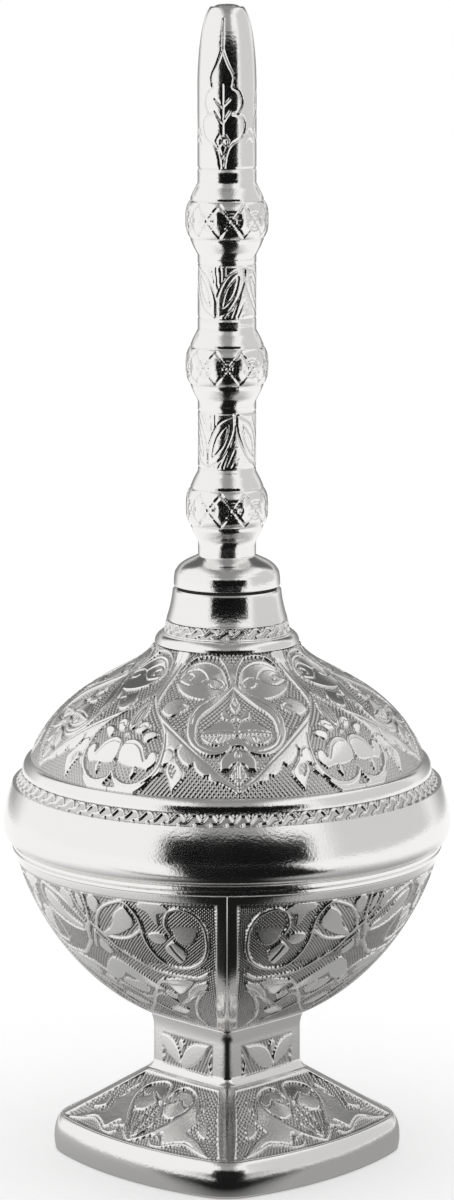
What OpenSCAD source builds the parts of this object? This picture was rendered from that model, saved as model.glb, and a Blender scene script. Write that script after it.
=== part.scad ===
// Rosewater sprinkler: a cast, silver plated bottle on a square foot, with a long
// screw-in sprinkling spout. Millimetres, +Z up, origin on the floor under the middle.
// One corner of the square foot points along -Y, another along +X.

/* [Base pad] */
// Thickness of the felt pad under the foot
pad_t = 1.2; // [0.8:0.1:2]
// How far the pad stands below the foot's edge
pad_proud = 0.2; // [0.1:0.05:0.6]
// Width of the foot's edge left around the pad
pad_inset = 2.4; // [1.5:0.1:4]

/* [Foot] */
// Centre to the outermost corner of the foot's round rim
foot_corner_r = 33.5; // [30:0.5:38]
// Radius of the rounded corners at the rim
foot_round = 9.4; // [6:0.2:11]
// Swelling of the foot's sides: 0 is a square, 1 is a circle
foot_swell = 0.37; // [0.1:0.01:0.8]
// Height of the rounded rim above the foot's edge
rim_h = 6.7; // [4.5:0.1:8]
// How far the rim stands out past the lower edge of the sloping sides
rim_out = 1.5; // [0.8:0.1:2]
// Height of the sloping sides above the rim
slope_h = 9.4; // [6:0.1:14]

/* [Stem] */
// Centre to the corner of the square stem
stem_corner_r = 14.1; // [12:0.1:17]
// Radius of the stem's rounded corners
stem_round = 1.6; // [1:0.1:3]
// Height of the hollow curve between foot and stem
cove_h = 1.7; // [1:0.1:3]
// How far that curve spreads at the foot
cove_out = 1.2; // [0.5:0.1:2]
// Height of the straight part of the stem
stem_h = 6.4; // [4:0.1:14]
// Height of the flare between stem and bowl
flare_h = 2.7; // [1.5:0.1:5]
// How far the flare spreads at the bowl
flare_out = 0.6; // [0.3:0.1:2]

/* [Bowl] */
// Height of the bowl from the stem's flare to the bead under the seam
bowl_h = 32.9; // [28:0.1:40]
// Radius of the bowl under the bead
bowl_r = 40.6; // [36:0.1:45]
// Wall of the lower casting, measured at its corners
lower_wall = 2.7; // [2:0.1:3.5]
// Metal left between the bowl's floor and the hollow of the foot
floor_t = 3.6; // [2.5:0.1:5]
// Height of the bead under the seam
bead_h = 2; // [1.5:0.1:3]
// How far the bead stands out past the bowl
bead_out = 0.5; // [0.3:0.1:1]
// Height of the lap that reaches up inside the upper casting
lap_h = 4; // [3:0.1:7]
// Thickness of the lap
lap_t = 2; // [1.5:0.1:2.6]

/* [Solder seam] */
// Thickness of the solder between the two castings
solder_t = 0.3; // [0.2:0.05:0.5]
// How far the solder bulges out of the seam
solder_bulge = 0.2; // [0.1:0.05:0.4]

/* [Band and dome] */
// Thickness of the upper casting beside the lap
skirt_t = 1.9; // [1.6:0.1:2.5]
// How far the wide band swells past the seam
band_out = 1.8; // [1:0.1:2.5]
// Height of the wide plain band
band_h = 10.7; // [8:0.1:16]
// Height of the key pattern strip above the band
key_h = 2.2; // [1.6:0.1:4]
// How far that strip leans in
key_in = 1.9; // [1:0.1:3]
// Height of the plain ring above that strip
ring_h = 2.4; // [1.6:0.1:4]
// Height of the carved dome
field_h = 22.3; // [16:0.1:32]
// Radius at the top of the carved dome
field_top_r = 13.9; // [12.5:0.1:16]
// Wall of the upper casting
upper_wall = 2.2; // [1.8:0.1:3]

/* [Carving] */
// Depth of the ground between the carved straps of the dome
carve_depth = 0.45; // [0.2:0.05:0.7]
// Number of cartouches round the dome
cartouches = 5; // [4:1:6]
// Angle that the front cartouche takes up
front_cartouche_a = 79; // [72:1:88]
// Turn of its middle from the corner that points along -Y
front_turn_a = 3.5; // [-10:0.5:10]

/* [Neck] */
// Height of the neck above the carved dome
neck_h = 10.4; // [9:0.1:14]
// Radius of the neck's top
neck_r = 10.3; // [9.6:0.1:11.5]
// Thickness of the neck's roof around the bush, above the hollow dome
neck_roof = 9.1; // [7:0.1:9.5]
// Outer radius of the brass bush
bush_r = 7.2; // [6.4:0.1:8]

/* [Thread] */
// Outer radius of the spout's thread
thread_r = 5; // [4.7:0.1:5.4]
// Depth of the thread
thread_depth = 0.8; // [0.5:0.05:0.9]
// Rise of the thread in one turn
thread_pitch = 1.5; // [1.25:0.05:2]
// Radial clearance in the thread
thread_gap = 0.1; // [0.08:0.01:0.15]
// Length of the threaded part of the nipple
thread_l = 8.4; // [6:0.1:10]
// Bore of the nipple
nipple_bore_r = 3.05; // [2.6:0.05:3.1]

/* [Gasket] */
// Thickness of the sealing washer
gasket_t = 0.6; // [0.4:0.1:1]
// How far the washer sits back from the collar's edge
gasket_inset = 0.7; // [0.4:0.1:1.2]
// Clearance between the washer and the thread
gasket_gap = 0.3; // [0.2:0.05:0.6]

/* [Spout] */
// Radius of the collar that screws down on the neck
collar_r = 10.1; // [9.4:0.1:11.5]
// Height of the collar's side
collar_h = 2.9; // [2:0.1:4]
// Height of the collar's curved shoulder
shoulder_h = 2.8; // [2:0.1:4]
// Radius of the spout between its bulbs
spout_r = 5.5; // [5:0.1:6.2]
// Bore of the spout
spout_bore_r = 3.25; // [3:0.05:3.6]
// Length of the nipple's plain end inside the spout
socket_l = 5; // [3:0.1:6]
// Radius of that plain end
socket_r = 4; // [3.7:0.05:4]
// Height of the lowest bulb's middle above the collar's lower face
bulb_1_h = 15.1; // [13:0.1:18]
// From the lowest bulb to the middle one
bulb_gap_1 = 26.8; // [18:0.1:36]
// From the middle bulb to the top one
bulb_gap_2 = 27.4; // [18:0.1:36]
// Radius of the bulbs
bulb_r = 7.8; // [6.8:0.1:9]
// Half height of a bulb between its two rings
bulb_half = 3.4; // [2.5:0.1:4]
// Height of the cone above and below a bulb
bulb_cone = 3.3; // [2:0.1:4]
// Radius of the rings above and below a bulb
ring_r = 7.05; // [6.4:0.05:7.6]
// From the top bulb to the shoulder of the tip
tip_shaft_l = 25.3; // [16:0.1:34]
// Height of the narrowing tip
tip_h = 14; // [10:0.1:18]

/* [Rose] */
// Radius of the pierced disc in the tip
rose_r = 2.4; // [2.1:0.05:2.6]
// Thickness of the disc at its edge
rose_t = 0.9; // [0.7:0.05:1.2]
// Height of the disc's domed face
rose_dome = 0.5; // [0.3:0.05:0.8]
// Radius of each sprinkling hole
hole_r = 0.4; // [0.3:0.05:0.45]
// Number of holes around the middle one
hole_count = 6; // [4:1:6]

/* [Hidden] */
$fn = 96;

// Heights, from the floor up
z_edge = pad_proud;
z_rim = z_edge + rim_h;
z_slope = z_rim + slope_h;
z_cove = z_slope + cove_h;
z_stem = z_cove + stem_h;
z_bowl = z_stem + flare_h;
z_bead = z_bowl + bowl_h;
z_seam = z_bead + bead_h;
z_skirt = z_seam + solder_t;
z_lap = z_seam + lap_h;
z_key = z_skirt + band_h;
z_ring = z_key + key_h;
z_field = z_ring + ring_h;
z_neck = z_field + field_h;
z_gasket = z_neck + neck_h;
z_collar = z_gasket + gasket_t;
z_waist = z_collar + collar_h + shoulder_h;
z_bulb_1 = z_collar + bulb_1_h;
z_bulb_2 = z_bulb_1 + bulb_gap_1;
z_bulb_3 = z_bulb_2 + bulb_gap_2;
z_tip = z_bulb_3 + tip_shaft_l;
z_mouth = z_tip + tip_h;

// Radii that follow from the ones above
slope_foot_r = foot_corner_r - rim_out;
slope_top_r = stem_corner_r + cove_out;
bowl_foot_r = stem_corner_r + flare_out;
bead_r = bowl_r + bead_out;
lap_r = bead_r - skirt_t;
lap_bore_r = lap_r - lap_t;
skirt_bore_r = lap_r + solder_t;
band_r = bead_r + band_out;
key_foot_r = band_r - key_in;
key_top_r = key_foot_r - key_in;
field_r = key_top_r - ring_h / 2;

// Shape of the foot's rim: an ellipse that ends at the slope and at the edge
rim_mid = 0.34;
rim_deep = 2;
z_rim_mid = z_edge + rim_h * rim_mid;
rim_top_a = acos(1 - rim_out / rim_deep);
rim_half_h = (z_rim - z_rim_mid) / sin(rim_top_a);
rim_low_a = -asin((z_rim_mid - z_edge) / rim_half_h);
edge_corner_r = foot_corner_r - rim_deep * (1 - cos(rim_low_a));

// Nearly flat sides, where the casting is square
flat_swell = 0.05;
// Small overlap that lets one shape run into the next
eps = 0.5;

// Directions of the points round a section, closest together at the four corners
half_steps = 9;
crowding = 1.6;
half_turn = [for (j = [0 : half_steps]) 45 * pow(j / half_steps, crowding)];
section_dirs = [for (q = [0 : 3]) each concat(
    [for (j = [half_steps - 1 : -1 : 1]) 90 * q - half_turn[j]],
    [for (j = [0 : half_steps]) 90 * q + half_turn[j]])];

// Distance from the middle to a swollen square's outline, in the direction a.
// c is the corner distance, s the swelling and f the corner radius.
function outline_r(c, s, f, a) =
    let (
        m = a - 90 * round(a / 90),
        d = c - f,
        h = d / sqrt(2),
        rise = max(s, flat_swell) * d * (1 - 1 / sqrt(2)),
        side_r = (h * h + rise * rise) / (2 * rise),
        side_x = h + rise - side_r,
        half = 45 - asin(min(1, h / side_r)),
        join = atan2(f * sin(half), d + f * cos(half)),
        b = 45 - abs(m)
    )
    abs(m) < join
        ? d * cos(m) + sqrt(max(0, f * f - pow(d * sin(m), 2)))
        : side_x * cos(b) + sqrt(max(0, pow(side_r + f, 2) - pow(side_x * sin(b), 2)));

// One section: [height, corner distance, swelling, corner radius]
function section(v) = [for (a = section_dirs)
    let (r = outline_r(v[1], v[2], v[3], a)) [r * cos(a), r * sin(a)]];

// Point t (0 to 1) of the curve with the ends a, d and the handles b, c
function curve_at(a, b, c, d, t) =
    pow(1 - t, 3) * a + 3 * pow(1 - t, 2) * t * b + 3 * (1 - t) * t * t * c + pow(t, 3) * d;
function curve(a, b, c, d, n, first = 0) = [for (i = [first : n]) curve_at(a, b, c, d, i / n)];

// The same curve moved sideways by w, to the left of its direction for w > 0
function curve_side(a, b, c, d, t, w) =
    let (
        step = 0.01,
        p = curve_at(a, b, c, d, max(0, t - step)),
        q = curve_at(a, b, c, d, min(1, t + step)),
        u = (q - p) / norm(q - p)
    )
    curve_at(a, b, c, d, t) + w * [-u[1], u[0]];

// Corner profile of the bowl, as radius and height
bowl_a = [bowl_foot_r, z_bowl];
bowl_b = bowl_a + [0.46 * (bowl_r - bowl_foot_r), 0.15 * bowl_h];
bowl_c = [bowl_r - 0.113 * (bowl_r - bowl_foot_r), z_bowl + 0.546 * bowl_h];
bowl_d = [bowl_r, z_bead];
function bowl_swell(z) =
    1 - (1 - flat_swell) * pow(max(0, 1 - (z - z_bowl) / bowl_h), 1.32);

// Closed solid through a stack of sections, from the lowest up
module loft(stack) {
    n = len(section_dirs);
    m = len(stack);
    points = [for (v = stack) each [for (p = section(v)) [p[0], p[1], v[0]]]];
    sides = [for (j = [0 : m - 2]) for (i = [0 : n - 1])
        let (k = (i + 1) % n, a = j * n + i, b = j * n + k, c = b + n, d = a + n)
        each [[a, d, c], [a, c, b]]];
    low = [for (i = [0 : n - 1]) i];
    high = [for (i = [n - 1 : -1 : 0]) (m - 1) * n + i];
    polyhedron(points, concat([low], sides, [high]), convexity = 6);
}

// The pad, as wide as the recess under the foot
pad_corner_r = edge_corner_r - pad_inset;
pad_round = foot_round - pad_inset;
pad_gap = 0.3;

module base_pad() {
    color("dimgray")
    linear_extrude(pad_t)
    polygon(section([0, pad_corner_r - pad_gap, foot_swell, pad_round - pad_gap]));
}

// Outside of the lower casting, from the foot's edge to the bowl
rim_steps = 9;
slope_steps = 5;
curve_steps = 4;
bowl_steps = 18;
foot_outside = concat(
    [for (i = [0 : rim_steps])
        let (
            a = rim_low_a + (rim_top_a - rim_low_a) * i / rim_steps,
            c = foot_corner_r - rim_deep * (1 - cos(a))
        )
        [z_rim_mid + rim_half_h * sin(a), c, foot_swell, foot_round + c - foot_corner_r]],
    [for (i = [1 : slope_steps])
        let (t = i / slope_steps)
        [z_rim + slope_h * t,
         slope_foot_r + (slope_top_r - slope_foot_r) * t,
         foot_swell + (flat_swell - foot_swell) * t,
         (foot_round - rim_out) * (1 - t) + stem_round * t]]);
stem_outside = concat(
    [for (i = [1 : curve_steps])
        let (t = i / curve_steps)
        [z_slope + cove_h * t, stem_corner_r + cove_out * pow(1 - t, 2), flat_swell, stem_round]],
    [for (i = [0 : curve_steps])
        let (t = i / curve_steps)
        [z_stem + flare_h * t, stem_corner_r + flare_out * t * t, flat_swell, stem_round]]);
bowl_outside = [for (i = [1 : bowl_steps])
    let (p = curve_at(bowl_a, bowl_b, bowl_c, bowl_d, i / bowl_steps))
    [p[1], p[0], bowl_swell(p[1]), stem_round]];

// Hollow of the bowl, which follows the outside up to the lap
hollow_steps = 12;
bowl_hollow = concat(
    [for (i = [0 : hollow_steps])
        let (
            t = 0.9 * i / hollow_steps,
            p = curve_side(bowl_a, bowl_b, bowl_c, bowl_d, t, lower_wall)
        )
        [p[1], min(p[0], lap_bore_r), bowl_swell(p[1]), stem_round]],
    [[z_bead, lap_bore_r, 1, stem_round], [z_lap + eps, lap_bore_r, 1, stem_round]]);
z_floor = bowl_hollow[0][0];

// Hollow of the foot and stem, closed at the bottom by the pad
slope_len = norm([slope_foot_r - slope_top_r, slope_h]);
slope_lift = lower_wall * slope_len / (slope_foot_r - slope_top_r);
stem_hollow_r = stem_corner_r - lower_wall;
slope_rate = slope_h / (slope_foot_r - slope_top_r);
ledge = 2;
foot_hollow_r = pad_corner_r - ledge;
function under_slope(r) = z_slope - slope_lift - (r - slope_top_r) * slope_rate;
hollow_round = 1.2;
foot_hollow = [
    [pad_t - eps, foot_hollow_r, foot_swell, foot_round - 2 * ledge],
    [under_slope(foot_hollow_r), foot_hollow_r, foot_swell, foot_round - 2 * ledge],
    [under_slope(stem_hollow_r), stem_hollow_r, flat_swell, hollow_round],
    [z_floor - floor_t, stem_hollow_r, flat_swell, hollow_round]];
pad_recess = [
    [z_edge - eps, pad_corner_r, foot_swell, pad_round],
    [pad_t, pad_corner_r, foot_swell, pad_round]];

bead_side = 0.25;
module lower_body() {
    color("silver")
    difference() {
        union() {
            loft(concat(foot_outside, stem_outside, bowl_outside,
                [[z_bead + eps, bowl_r, 1, stem_round]]));
            rotate_extrude()
            polygon([
                [lap_bore_r - eps, z_bead],
                [bead_r - bead_side, z_bead],
                [bead_r, z_bead + bead_side],
                [bead_r, z_seam - bead_side],
                [bead_r - bead_side, z_seam],
                [lap_r, z_seam],
                [lap_r, z_lap],
                [lap_bore_r - eps, z_lap]]);
        }
        loft(bowl_hollow);
        loft(foot_hollow);
        loft(pad_recess);
    }
}

// Solder that fills the lap and shows as a fine line under the band
module seam_solder() {
    color("lightgray")
    rotate_extrude()
    polygon([
        [lap_r, z_seam],
        [bead_r, z_seam],
        [bead_r + solder_bulge, z_seam + solder_t / 2],
        [bead_r, z_skirt],
        [skirt_bore_r, z_skirt],
        [skirt_bore_r, z_lap],
        [lap_r, z_lap]]);
}

// Outlines of the upper casting, as radius and height
band_side_a = [bead_r, z_skirt];
band_side_b = [bead_r + 1.6 * band_out, z_skirt + 0.05 * band_h];
band_side_c = [band_r - 0.15 * band_out, z_skirt + 0.6 * band_h];
band_side_d = [key_foot_r, z_key];
field_a = [field_r, z_field];
field_b = [field_r - 0.27 * (field_r - field_top_r), z_neck - 0.3 * field_h];
field_c = [field_top_r + 0.118 * (field_r - field_top_r), z_neck - 0.287 * field_h];
field_d = [field_top_r, z_neck];
neck_b = [neck_r + 0.455 * (field_top_r - neck_r), z_neck + 0.206 * neck_h];
neck_c = [neck_r + 0.04 * (field_top_r - neck_r), z_neck + 0.69 * neck_h];
neck_d = [neck_r, z_gasket];
lap_clear = 0.4;
dome_steps = 14;
inside_steps = 26;
z_roof = z_gasket - neck_roof;
dome_inside = [for (i = [2 : inside_steps])
    let (p = curve_side(field_a, field_b, field_c, field_d, i / inside_steps, upper_wall))
    if (p[0] > bush_r + 1 && p[1] < z_roof) p];

// Half width and middle of each cartouche, as angles from -Y towards +X
back_half_a = (360 - front_cartouche_a) / (2 * (cartouches - 1));
function half_a(k) = k % cartouches == 0 ? front_cartouche_a / 2 : back_half_a;
function middle_a(k) =
    front_turn_a + (k == 0 ? 0 : front_cartouche_a / 2 + back_half_a * (2 * k - 1));

// Sunk ground between the straps. Each point is a share of the half width and a share
// of the dome's curve. The first three are measured from the middle of a cartouche,
// and the drop from the line between two.
low_ground = [[0.07, 0.012], [0.15, 0.076], [0.25, 0.076], [0.36, 0.115], [0.49, 0.175],
    [0.59, 0.157], [0.7, 0.059], [0.75, 0.012]];
side_ground = [[0.45, 0.329], [0.65, 0.428], [0.81, 0.506], [0.89, 0.581], [0.92, 0.749],
    [0.84, 0.699], [0.73, 0.588], [0.59, 0.536], [0.43, 0.512]];
ogee_ground = [[0, 0.65], [0.11, 0.575], [0.23, 0.482], [0.32, 0.402], [0.35, 0.321],
    [0.29, 0.329], [0.19, 0.393], [0.08, 0.407], [0, 0.355]];
drop_ground = [[0, 0.575], [0.12, 0.488], [0.31, 0.355], [0.39, 0.266], [0.3, 0.244],
    [0.27, 0.197], [0.16, 0.258], [0.06, 0.258], [0, 0.216]];

// The outline on one side of the angle a, with the half width w, or on both sides
function one_side(half, a, w) = [for (p = half) [a + p[0] * w, p[1]]];
function both_sides(half, a, w_low, w_high) = concat(
    one_side(half, a, w_high),
    [for (i = [len(half) - 2 : -1 : 1]) [a - half[i][0] * w_low, half[i][1]]]);

function field_curve(t) = curve_at(field_a, field_b, field_c, field_d, t);
function field_point(a, t) =
    let (p = field_curve(t))
    [p[0] * sin(a), -p[0] * cos(a), p[1]];

// Prism that stands square to the dome over one sunk area
cut_in = 3;
cut_out = 1.5;
module sunk_area(outline) {
    angles = [for (p = outline) p[0]];
    shares = [for (p = outline) p[1]];
    a = (min(angles) + max(angles)) / 2;
    t = (min(shares) + max(shares)) / 2;
    rise = field_curve(t + 0.01) - field_curve(t - 0.01);
    lean = atan2(-rise[0], rise[1]);
    across = [cos(a), sin(a), 0];
    up = [-sin(lean) * sin(a), sin(lean) * cos(a), cos(lean)];
    middle = field_point(a, t);
    translate(middle)
    rotate([90 - lean, 0, a])
    translate([0, 0, -cut_in])
    linear_extrude(cut_in + cut_out)
    polygon([for (p = outline)
        let (d = field_point(p[0], p[1]) - middle)
        [d * across, d * up]]);
}

// What the carver took out of the dome: the ground, sunk to one depth
ground_steps = 9;
module sunk_ground() {
    intersection() {
        rotate_extrude()
        polygon(concat(
            [for (i = [0 : ground_steps])
                curve_side(field_a, field_b, field_c, field_d, i / ground_steps, -1)],
            [for (i = [ground_steps : -1 : 0])
                curve_side(field_a, field_b, field_c, field_d, i / ground_steps,
                    carve_depth)]));
        for (k = [0 : cartouches - 1]) {
            sunk_area(one_side(low_ground, middle_a(k), half_a(k)));
            sunk_area(one_side(low_ground, middle_a(k), -half_a(k)));
            sunk_area(one_side(side_ground, middle_a(k), half_a(k)));
            sunk_area(one_side(side_ground, middle_a(k), -half_a(k)));
            sunk_area(both_sides(ogee_ground, middle_a(k), half_a(k), half_a(k)));
            sunk_area(both_sides(drop_ground, middle_a(k) + half_a(k),
                half_a(k), half_a(k + 1)));
        }
    }
}

module upper_body() {
    color("silver")
    difference() {
        rotate_extrude()
        polygon(concat(
            [[skirt_bore_r, z_skirt]],
            curve(band_side_a, band_side_b, band_side_c, band_side_d, 14),
            [[key_top_r, z_ring]],
            curve([key_top_r, z_ring], [key_top_r, z_ring + 0.6 * ring_h],
                [field_r + 0.2 * ring_h, z_field], field_a, 5, 1),
            curve(field_a, field_b, field_c, field_d, dome_steps, 1),
            curve(field_d, neck_b, neck_c, neck_d, 12, 1),
            [[bush_r - eps, z_gasket]],
            [[bush_r - eps, z_roof]],
            [[dome_inside[len(dome_inside) - 1][0], z_roof]],
            [for (i = [len(dome_inside) - 1 : -1 : 0]) dome_inside[i]],
            [[dome_inside[0][0], z_field]],
            [[lap_r - 1, z_ring - key_h]],
            [[lap_r - 1, z_lap + lap_clear]],
            [[skirt_bore_r, z_lap + lap_clear]]));
        translate([0, 0, z_roof - eps])
        cylinder(r = bush_r, h = neck_roof + 2 * eps);
        sunk_ground();
    }
}

// Round thread: at every height the section is a circle set off the axis, and it
// turns once round the axis in each pitch
thread_sides = 32;
thread_rows = 8;
function thread_at(z, a, grow) =
    let (
        off = thread_depth / 2,
        r = thread_r - off + grow,
        b = a - 360 * z / thread_pitch
    )
    off * cos(b) + sqrt(r * r - pow(off * sin(b), 2));

module thread_core(z0, z1, grow) {
    n = thread_sides;
    m = ceil((z1 - z0) / thread_pitch * thread_rows);
    points = [for (j = [0 : m]) each
        let (z = z0 + (z1 - z0) * j / m)
        [for (i = [0 : n - 1])
            let (a = 360 * i / n, r = thread_at(z, a, grow))
            [r * cos(a), r * sin(a), z]]];
    sides = [for (j = [0 : m - 1]) for (i = [0 : n - 1])
        let (k = (i + 1) % n, a = j * n + i, b = j * n + k, c = b + n, d = a + n)
        each [[a, d, c], [a, c, b]]];
    low = [for (i = [0 : n - 1]) i];
    high = [for (i = [n - 1 : -1 : 0]) m * n + i];
    polyhedron(points, concat([low], sides, [high]), convexity = 8);
}

module neck_bush() {
    color("goldenrod")
    difference() {
        translate([0, 0, z_roof])
        cylinder(r = bush_r, h = neck_roof);
        thread_core(z_roof - eps, z_gasket + eps, thread_gap);
    }
}

module gasket() {
    color("black")
    translate([0, 0, z_gasket])
    difference() {
        cylinder(r = min(neck_r, collar_r) - gasket_inset, h = gasket_t);
        translate([0, 0, -eps])
        cylinder(r = thread_r + gasket_gap, h = gasket_t + 2 * eps);
    }
}

// Threaded tube, pressed into the foot of the spout
module nipple() {
    color("goldenrod")
    difference() {
        union() {
            thread_core(z_collar - thread_l, z_collar, 0);
            translate([0, 0, z_collar - eps])
            cylinder(r = socket_r, h = socket_l + eps);
        }
        translate([0, 0, z_collar - thread_l - eps])
        cylinder(r = nipple_bore_r, h = thread_l + socket_l + 2 * eps);
    }
}

// Half outline of a bulb with its two rings, from the lower cone up
bulb_steps = 10;
cone_mid_r = spout_r + 0.56 * (ring_r - spout_r);
function bulb(z) = concat(
    [[spout_r, z - bulb_half - bulb_cone]],
    [[cone_mid_r, z - bulb_half - bulb_cone / 2]],
    [for (i = [0 : bulb_steps])
        let (u = 2 * i / bulb_steps - 1)
        [ring_r + (bulb_r - ring_r) * sqrt(1 - pow(0.92 * u, 2)) * (1 - pow(u, 6)),
         z + u * bulb_half]],
    [[cone_mid_r, z + bulb_half + bulb_cone / 2]],
    [[spout_r, z + bulb_half + bulb_cone]]);

// Tip of the spout: the shaft draws in to the mouth
mouth_wall = 0.7;
mouth_r = rose_r + mouth_wall;
seat_lip = 0.4;
seat_r = rose_r - seat_lip;
z_rose = z_mouth - rose_t;
tip_a = [spout_r, z_tip];
tip_b = [spout_r - 0.1, z_tip + 0.45 * tip_h];
tip_c = [spout_r - 0.9, z_mouth - 0.1 * tip_h];
tip_d = [mouth_r, z_mouth];
z_bore_top = z_mouth - 0.45 * tip_h;

module spout() {
    color("silver")
    difference() {
        rotate_extrude()
        polygon(concat(
            [[0, z_collar]],
            curve([collar_r, z_collar], [collar_r, z_collar + 0.5 * collar_h],
                [collar_r - 0.1, z_collar + 0.9 * collar_h],
                [collar_r - 0.45, z_collar + collar_h], 4),
            curve([collar_r - 0.45, z_collar + collar_h],
                [collar_r - 1.2, z_collar + collar_h + 0.55 * shoulder_h],
                [spout_r + 1.1, z_waist - 0.25 * shoulder_h], [spout_r, z_waist], 6, 1),
            bulb(z_bulb_1),
            bulb(z_bulb_2),
            bulb(z_bulb_3),
            curve(tip_a, tip_b, tip_c, tip_d, 12),
            [[0, z_mouth]]));
        translate([0, 0, z_collar - eps])
        cylinder(r = socket_r, h = socket_l + eps);
        translate([0, 0, z_collar])
        cylinder(r = spout_bore_r, h = z_bore_top - z_collar);
        translate([0, 0, z_bore_top - 0.01])
        cylinder(r1 = spout_bore_r, r2 = seat_r, h = 0.2 * tip_h);
        translate([0, 0, z_bore_top])
        cylinder(r = seat_r, h = z_mouth - z_bore_top + eps);
        translate([0, 0, z_rose])
        cylinder(r = rose_r, h = rose_t + eps);
    }
}

// Pierced disc that lets the rosewater out in drops
hole_ring_r = rose_r * 0.6;
module rose() {
    color("silver")
    difference() {
        rotate_extrude()
        polygon(concat(
            [[0, z_rose]],
            [[rose_r, z_rose]],
            curve([rose_r, z_mouth], [rose_r * 0.85, z_mouth + rose_dome * 0.7],
                [rose_r * 0.5, z_mouth + rose_dome], [0, z_mouth + rose_dome], 6)));
        translate([0, 0, z_rose - eps])
        cylinder(r = hole_r, h = rose_t + rose_dome + 2 * eps);
        for (i = [1 : hole_count])
            rotate([0, 0, 360 * i / hole_count])
            translate([hole_ring_r, 0, z_rose - eps])
            cylinder(r = hole_r, h = rose_t + rose_dome + 2 * eps);
    }
}

base_pad();
lower_body();
seam_solder();
upper_body();
neck_bush();
gasket();
nipple();
spout();
rose();
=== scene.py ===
# Rosewater sprinkler: a cast and silver plated bottle on a square foot, with a long
# sprinkling spout that screws into its neck. Metres, with the origin on the floor under
# the middle of the foot; the sections' own sizes are in millimetres, as on the drawing.
import math

import bpy
import numpy as np
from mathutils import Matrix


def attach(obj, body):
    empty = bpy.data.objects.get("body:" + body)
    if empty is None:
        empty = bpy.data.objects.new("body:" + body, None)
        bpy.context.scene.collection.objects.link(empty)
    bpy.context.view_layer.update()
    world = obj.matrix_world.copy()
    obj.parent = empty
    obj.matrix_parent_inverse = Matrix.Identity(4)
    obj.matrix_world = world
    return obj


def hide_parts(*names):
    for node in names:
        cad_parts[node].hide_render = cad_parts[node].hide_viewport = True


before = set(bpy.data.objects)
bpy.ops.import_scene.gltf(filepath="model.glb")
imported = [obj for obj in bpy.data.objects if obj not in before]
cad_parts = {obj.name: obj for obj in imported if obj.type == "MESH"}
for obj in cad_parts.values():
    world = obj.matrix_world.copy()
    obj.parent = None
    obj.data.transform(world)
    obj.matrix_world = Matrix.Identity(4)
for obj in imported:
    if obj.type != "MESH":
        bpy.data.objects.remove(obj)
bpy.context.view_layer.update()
MM = 0.001

# ---- Camera ----
# It looks down at the sprinkler by ten degrees from about 0.8 m, with a long lens, and
# one corner of the foot points at it.
camera_pitch = math.radians(10)
camera_distance = 797.5 * MM
camera_aim_z = 107.8 * MM

bpy.ops.object.select_all(action="DESELECT")
bpy.ops.object.camera_add(
    location=(0, -camera_distance * math.cos(camera_pitch),
              camera_aim_z + camera_distance * math.sin(camera_pitch)),
    rotation=(math.pi / 2 - camera_pitch, 0, 0))
camera = bpy.context.object
camera.name = "camera"
camera.data.lens = 126
camera.data.clip_start = 0.01
bpy.context.scene.camera = camera
bpy.context.scene.view_settings.view_transform = "Standard"


# ---- Studio ----
# A pale floor in a white tent. Dark cards below the camera give the silver its dark middle, and grey
# ones overhead and behind it keep the rest from glaring. The dark and grey cards round the foot are
# painted shade: they stand for the floor's shadow there, as the silver sees it. The cards have soft
# edges and show only in the silver.
# The cards have soft edges and show only in the silver.
def linear(hex_colour, alpha=1.0):
    """sRGB hex value as a linear colour."""
    parts = [int(hex_colour[i:i + 2], 16) / 255 for i in (1, 3, 5)]
    return tuple(c / 12.92 if c <= 0.04045 else ((c + 0.055) / 1.055) ** 2.4
                 for c in parts) + (alpha,)


def add_node(tree, kind, sockets=(), **settings):
    """One node with its settings, its values and what is plugged into it."""
    node = tree.nodes.new(kind)
    for key, value in settings.items():
        setattr(node, key, value)
    for name, value in sockets:
        if isinstance(value, bpy.types.NodeSocket):
            tree.links.new(value, node.inputs[name])
        else:
            node.inputs[name].default_value = value
    return node


def new_material(name):
    """An empty node material and its tree."""
    material = bpy.data.materials.new(name)
    material.use_nodes = True
    material.node_tree.nodes.clear()
    return material, material.node_tree


def seen_directly(tree):
    """1 for what the camera sees, straight on or in metal and glass, else 0."""
    path = add_node(tree, "ShaderNodeLightPath")
    both = add_node(tree, "ShaderNodeMath", [(0, path.outputs["Is Camera Ray"]),
                                             (1, path.outputs["Is Glossy Ray"])],
                    operation="ADD")
    return add_node(tree, "ShaderNodeMath", [(0, both.outputs[0]),
                                             (1, path.outputs["Is Transmission Ray"])],
                    operation="ADD", use_clamp=True).outputs[0]


tent_level = 0.85
world = bpy.data.worlds.new("white_tent")
world.use_nodes = True
sky = world.node_tree
sky.nodes.clear()
tent = add_node(sky, "ShaderNodeMapRange", [
    ("Value", seen_directly(sky)), ("To Min", tent_level), ("To Max", 1.0)])
tent_light = add_node(sky, "ShaderNodeBackground", [
    ("Color", linear("#FFFFFF")), ("Strength", tent.outputs[0])])
add_node(sky, "ShaderNodeOutputWorld", [("Surface", tent_light.outputs[0])])
bpy.context.scene.world = world

floor_size = 6.0
bpy.ops.mesh.primitive_plane_add(size=floor_size, location=(0, 0, 0))
floor = bpy.context.object
floor.name = "floor"
floor_paper, tree = new_material("pale_paper")
paper = add_node(tree, "ShaderNodeBsdfDiffuse", [("Color", linear("#F4F4F4"))])
paper_lift = add_node(tree, "ShaderNodeMapRange", [
    ("Value", seen_directly(tree)), ("To Min", 0.0), ("To Max", 0.26)])
paper_glow = add_node(tree, "ShaderNodeEmission", [
    ("Color", linear("#FFFFFF")), ("Strength", paper_lift.outputs[0])])
paper_both = add_node(tree, "ShaderNodeAddShader", [(0, paper.outputs[0]),
                                                    (1, paper_glow.outputs[0])])
add_node(tree, "ShaderNodeOutputMaterial", [("Surface", paper_both.outputs[0])])
floor.data.materials.append(floor_paper)


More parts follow.
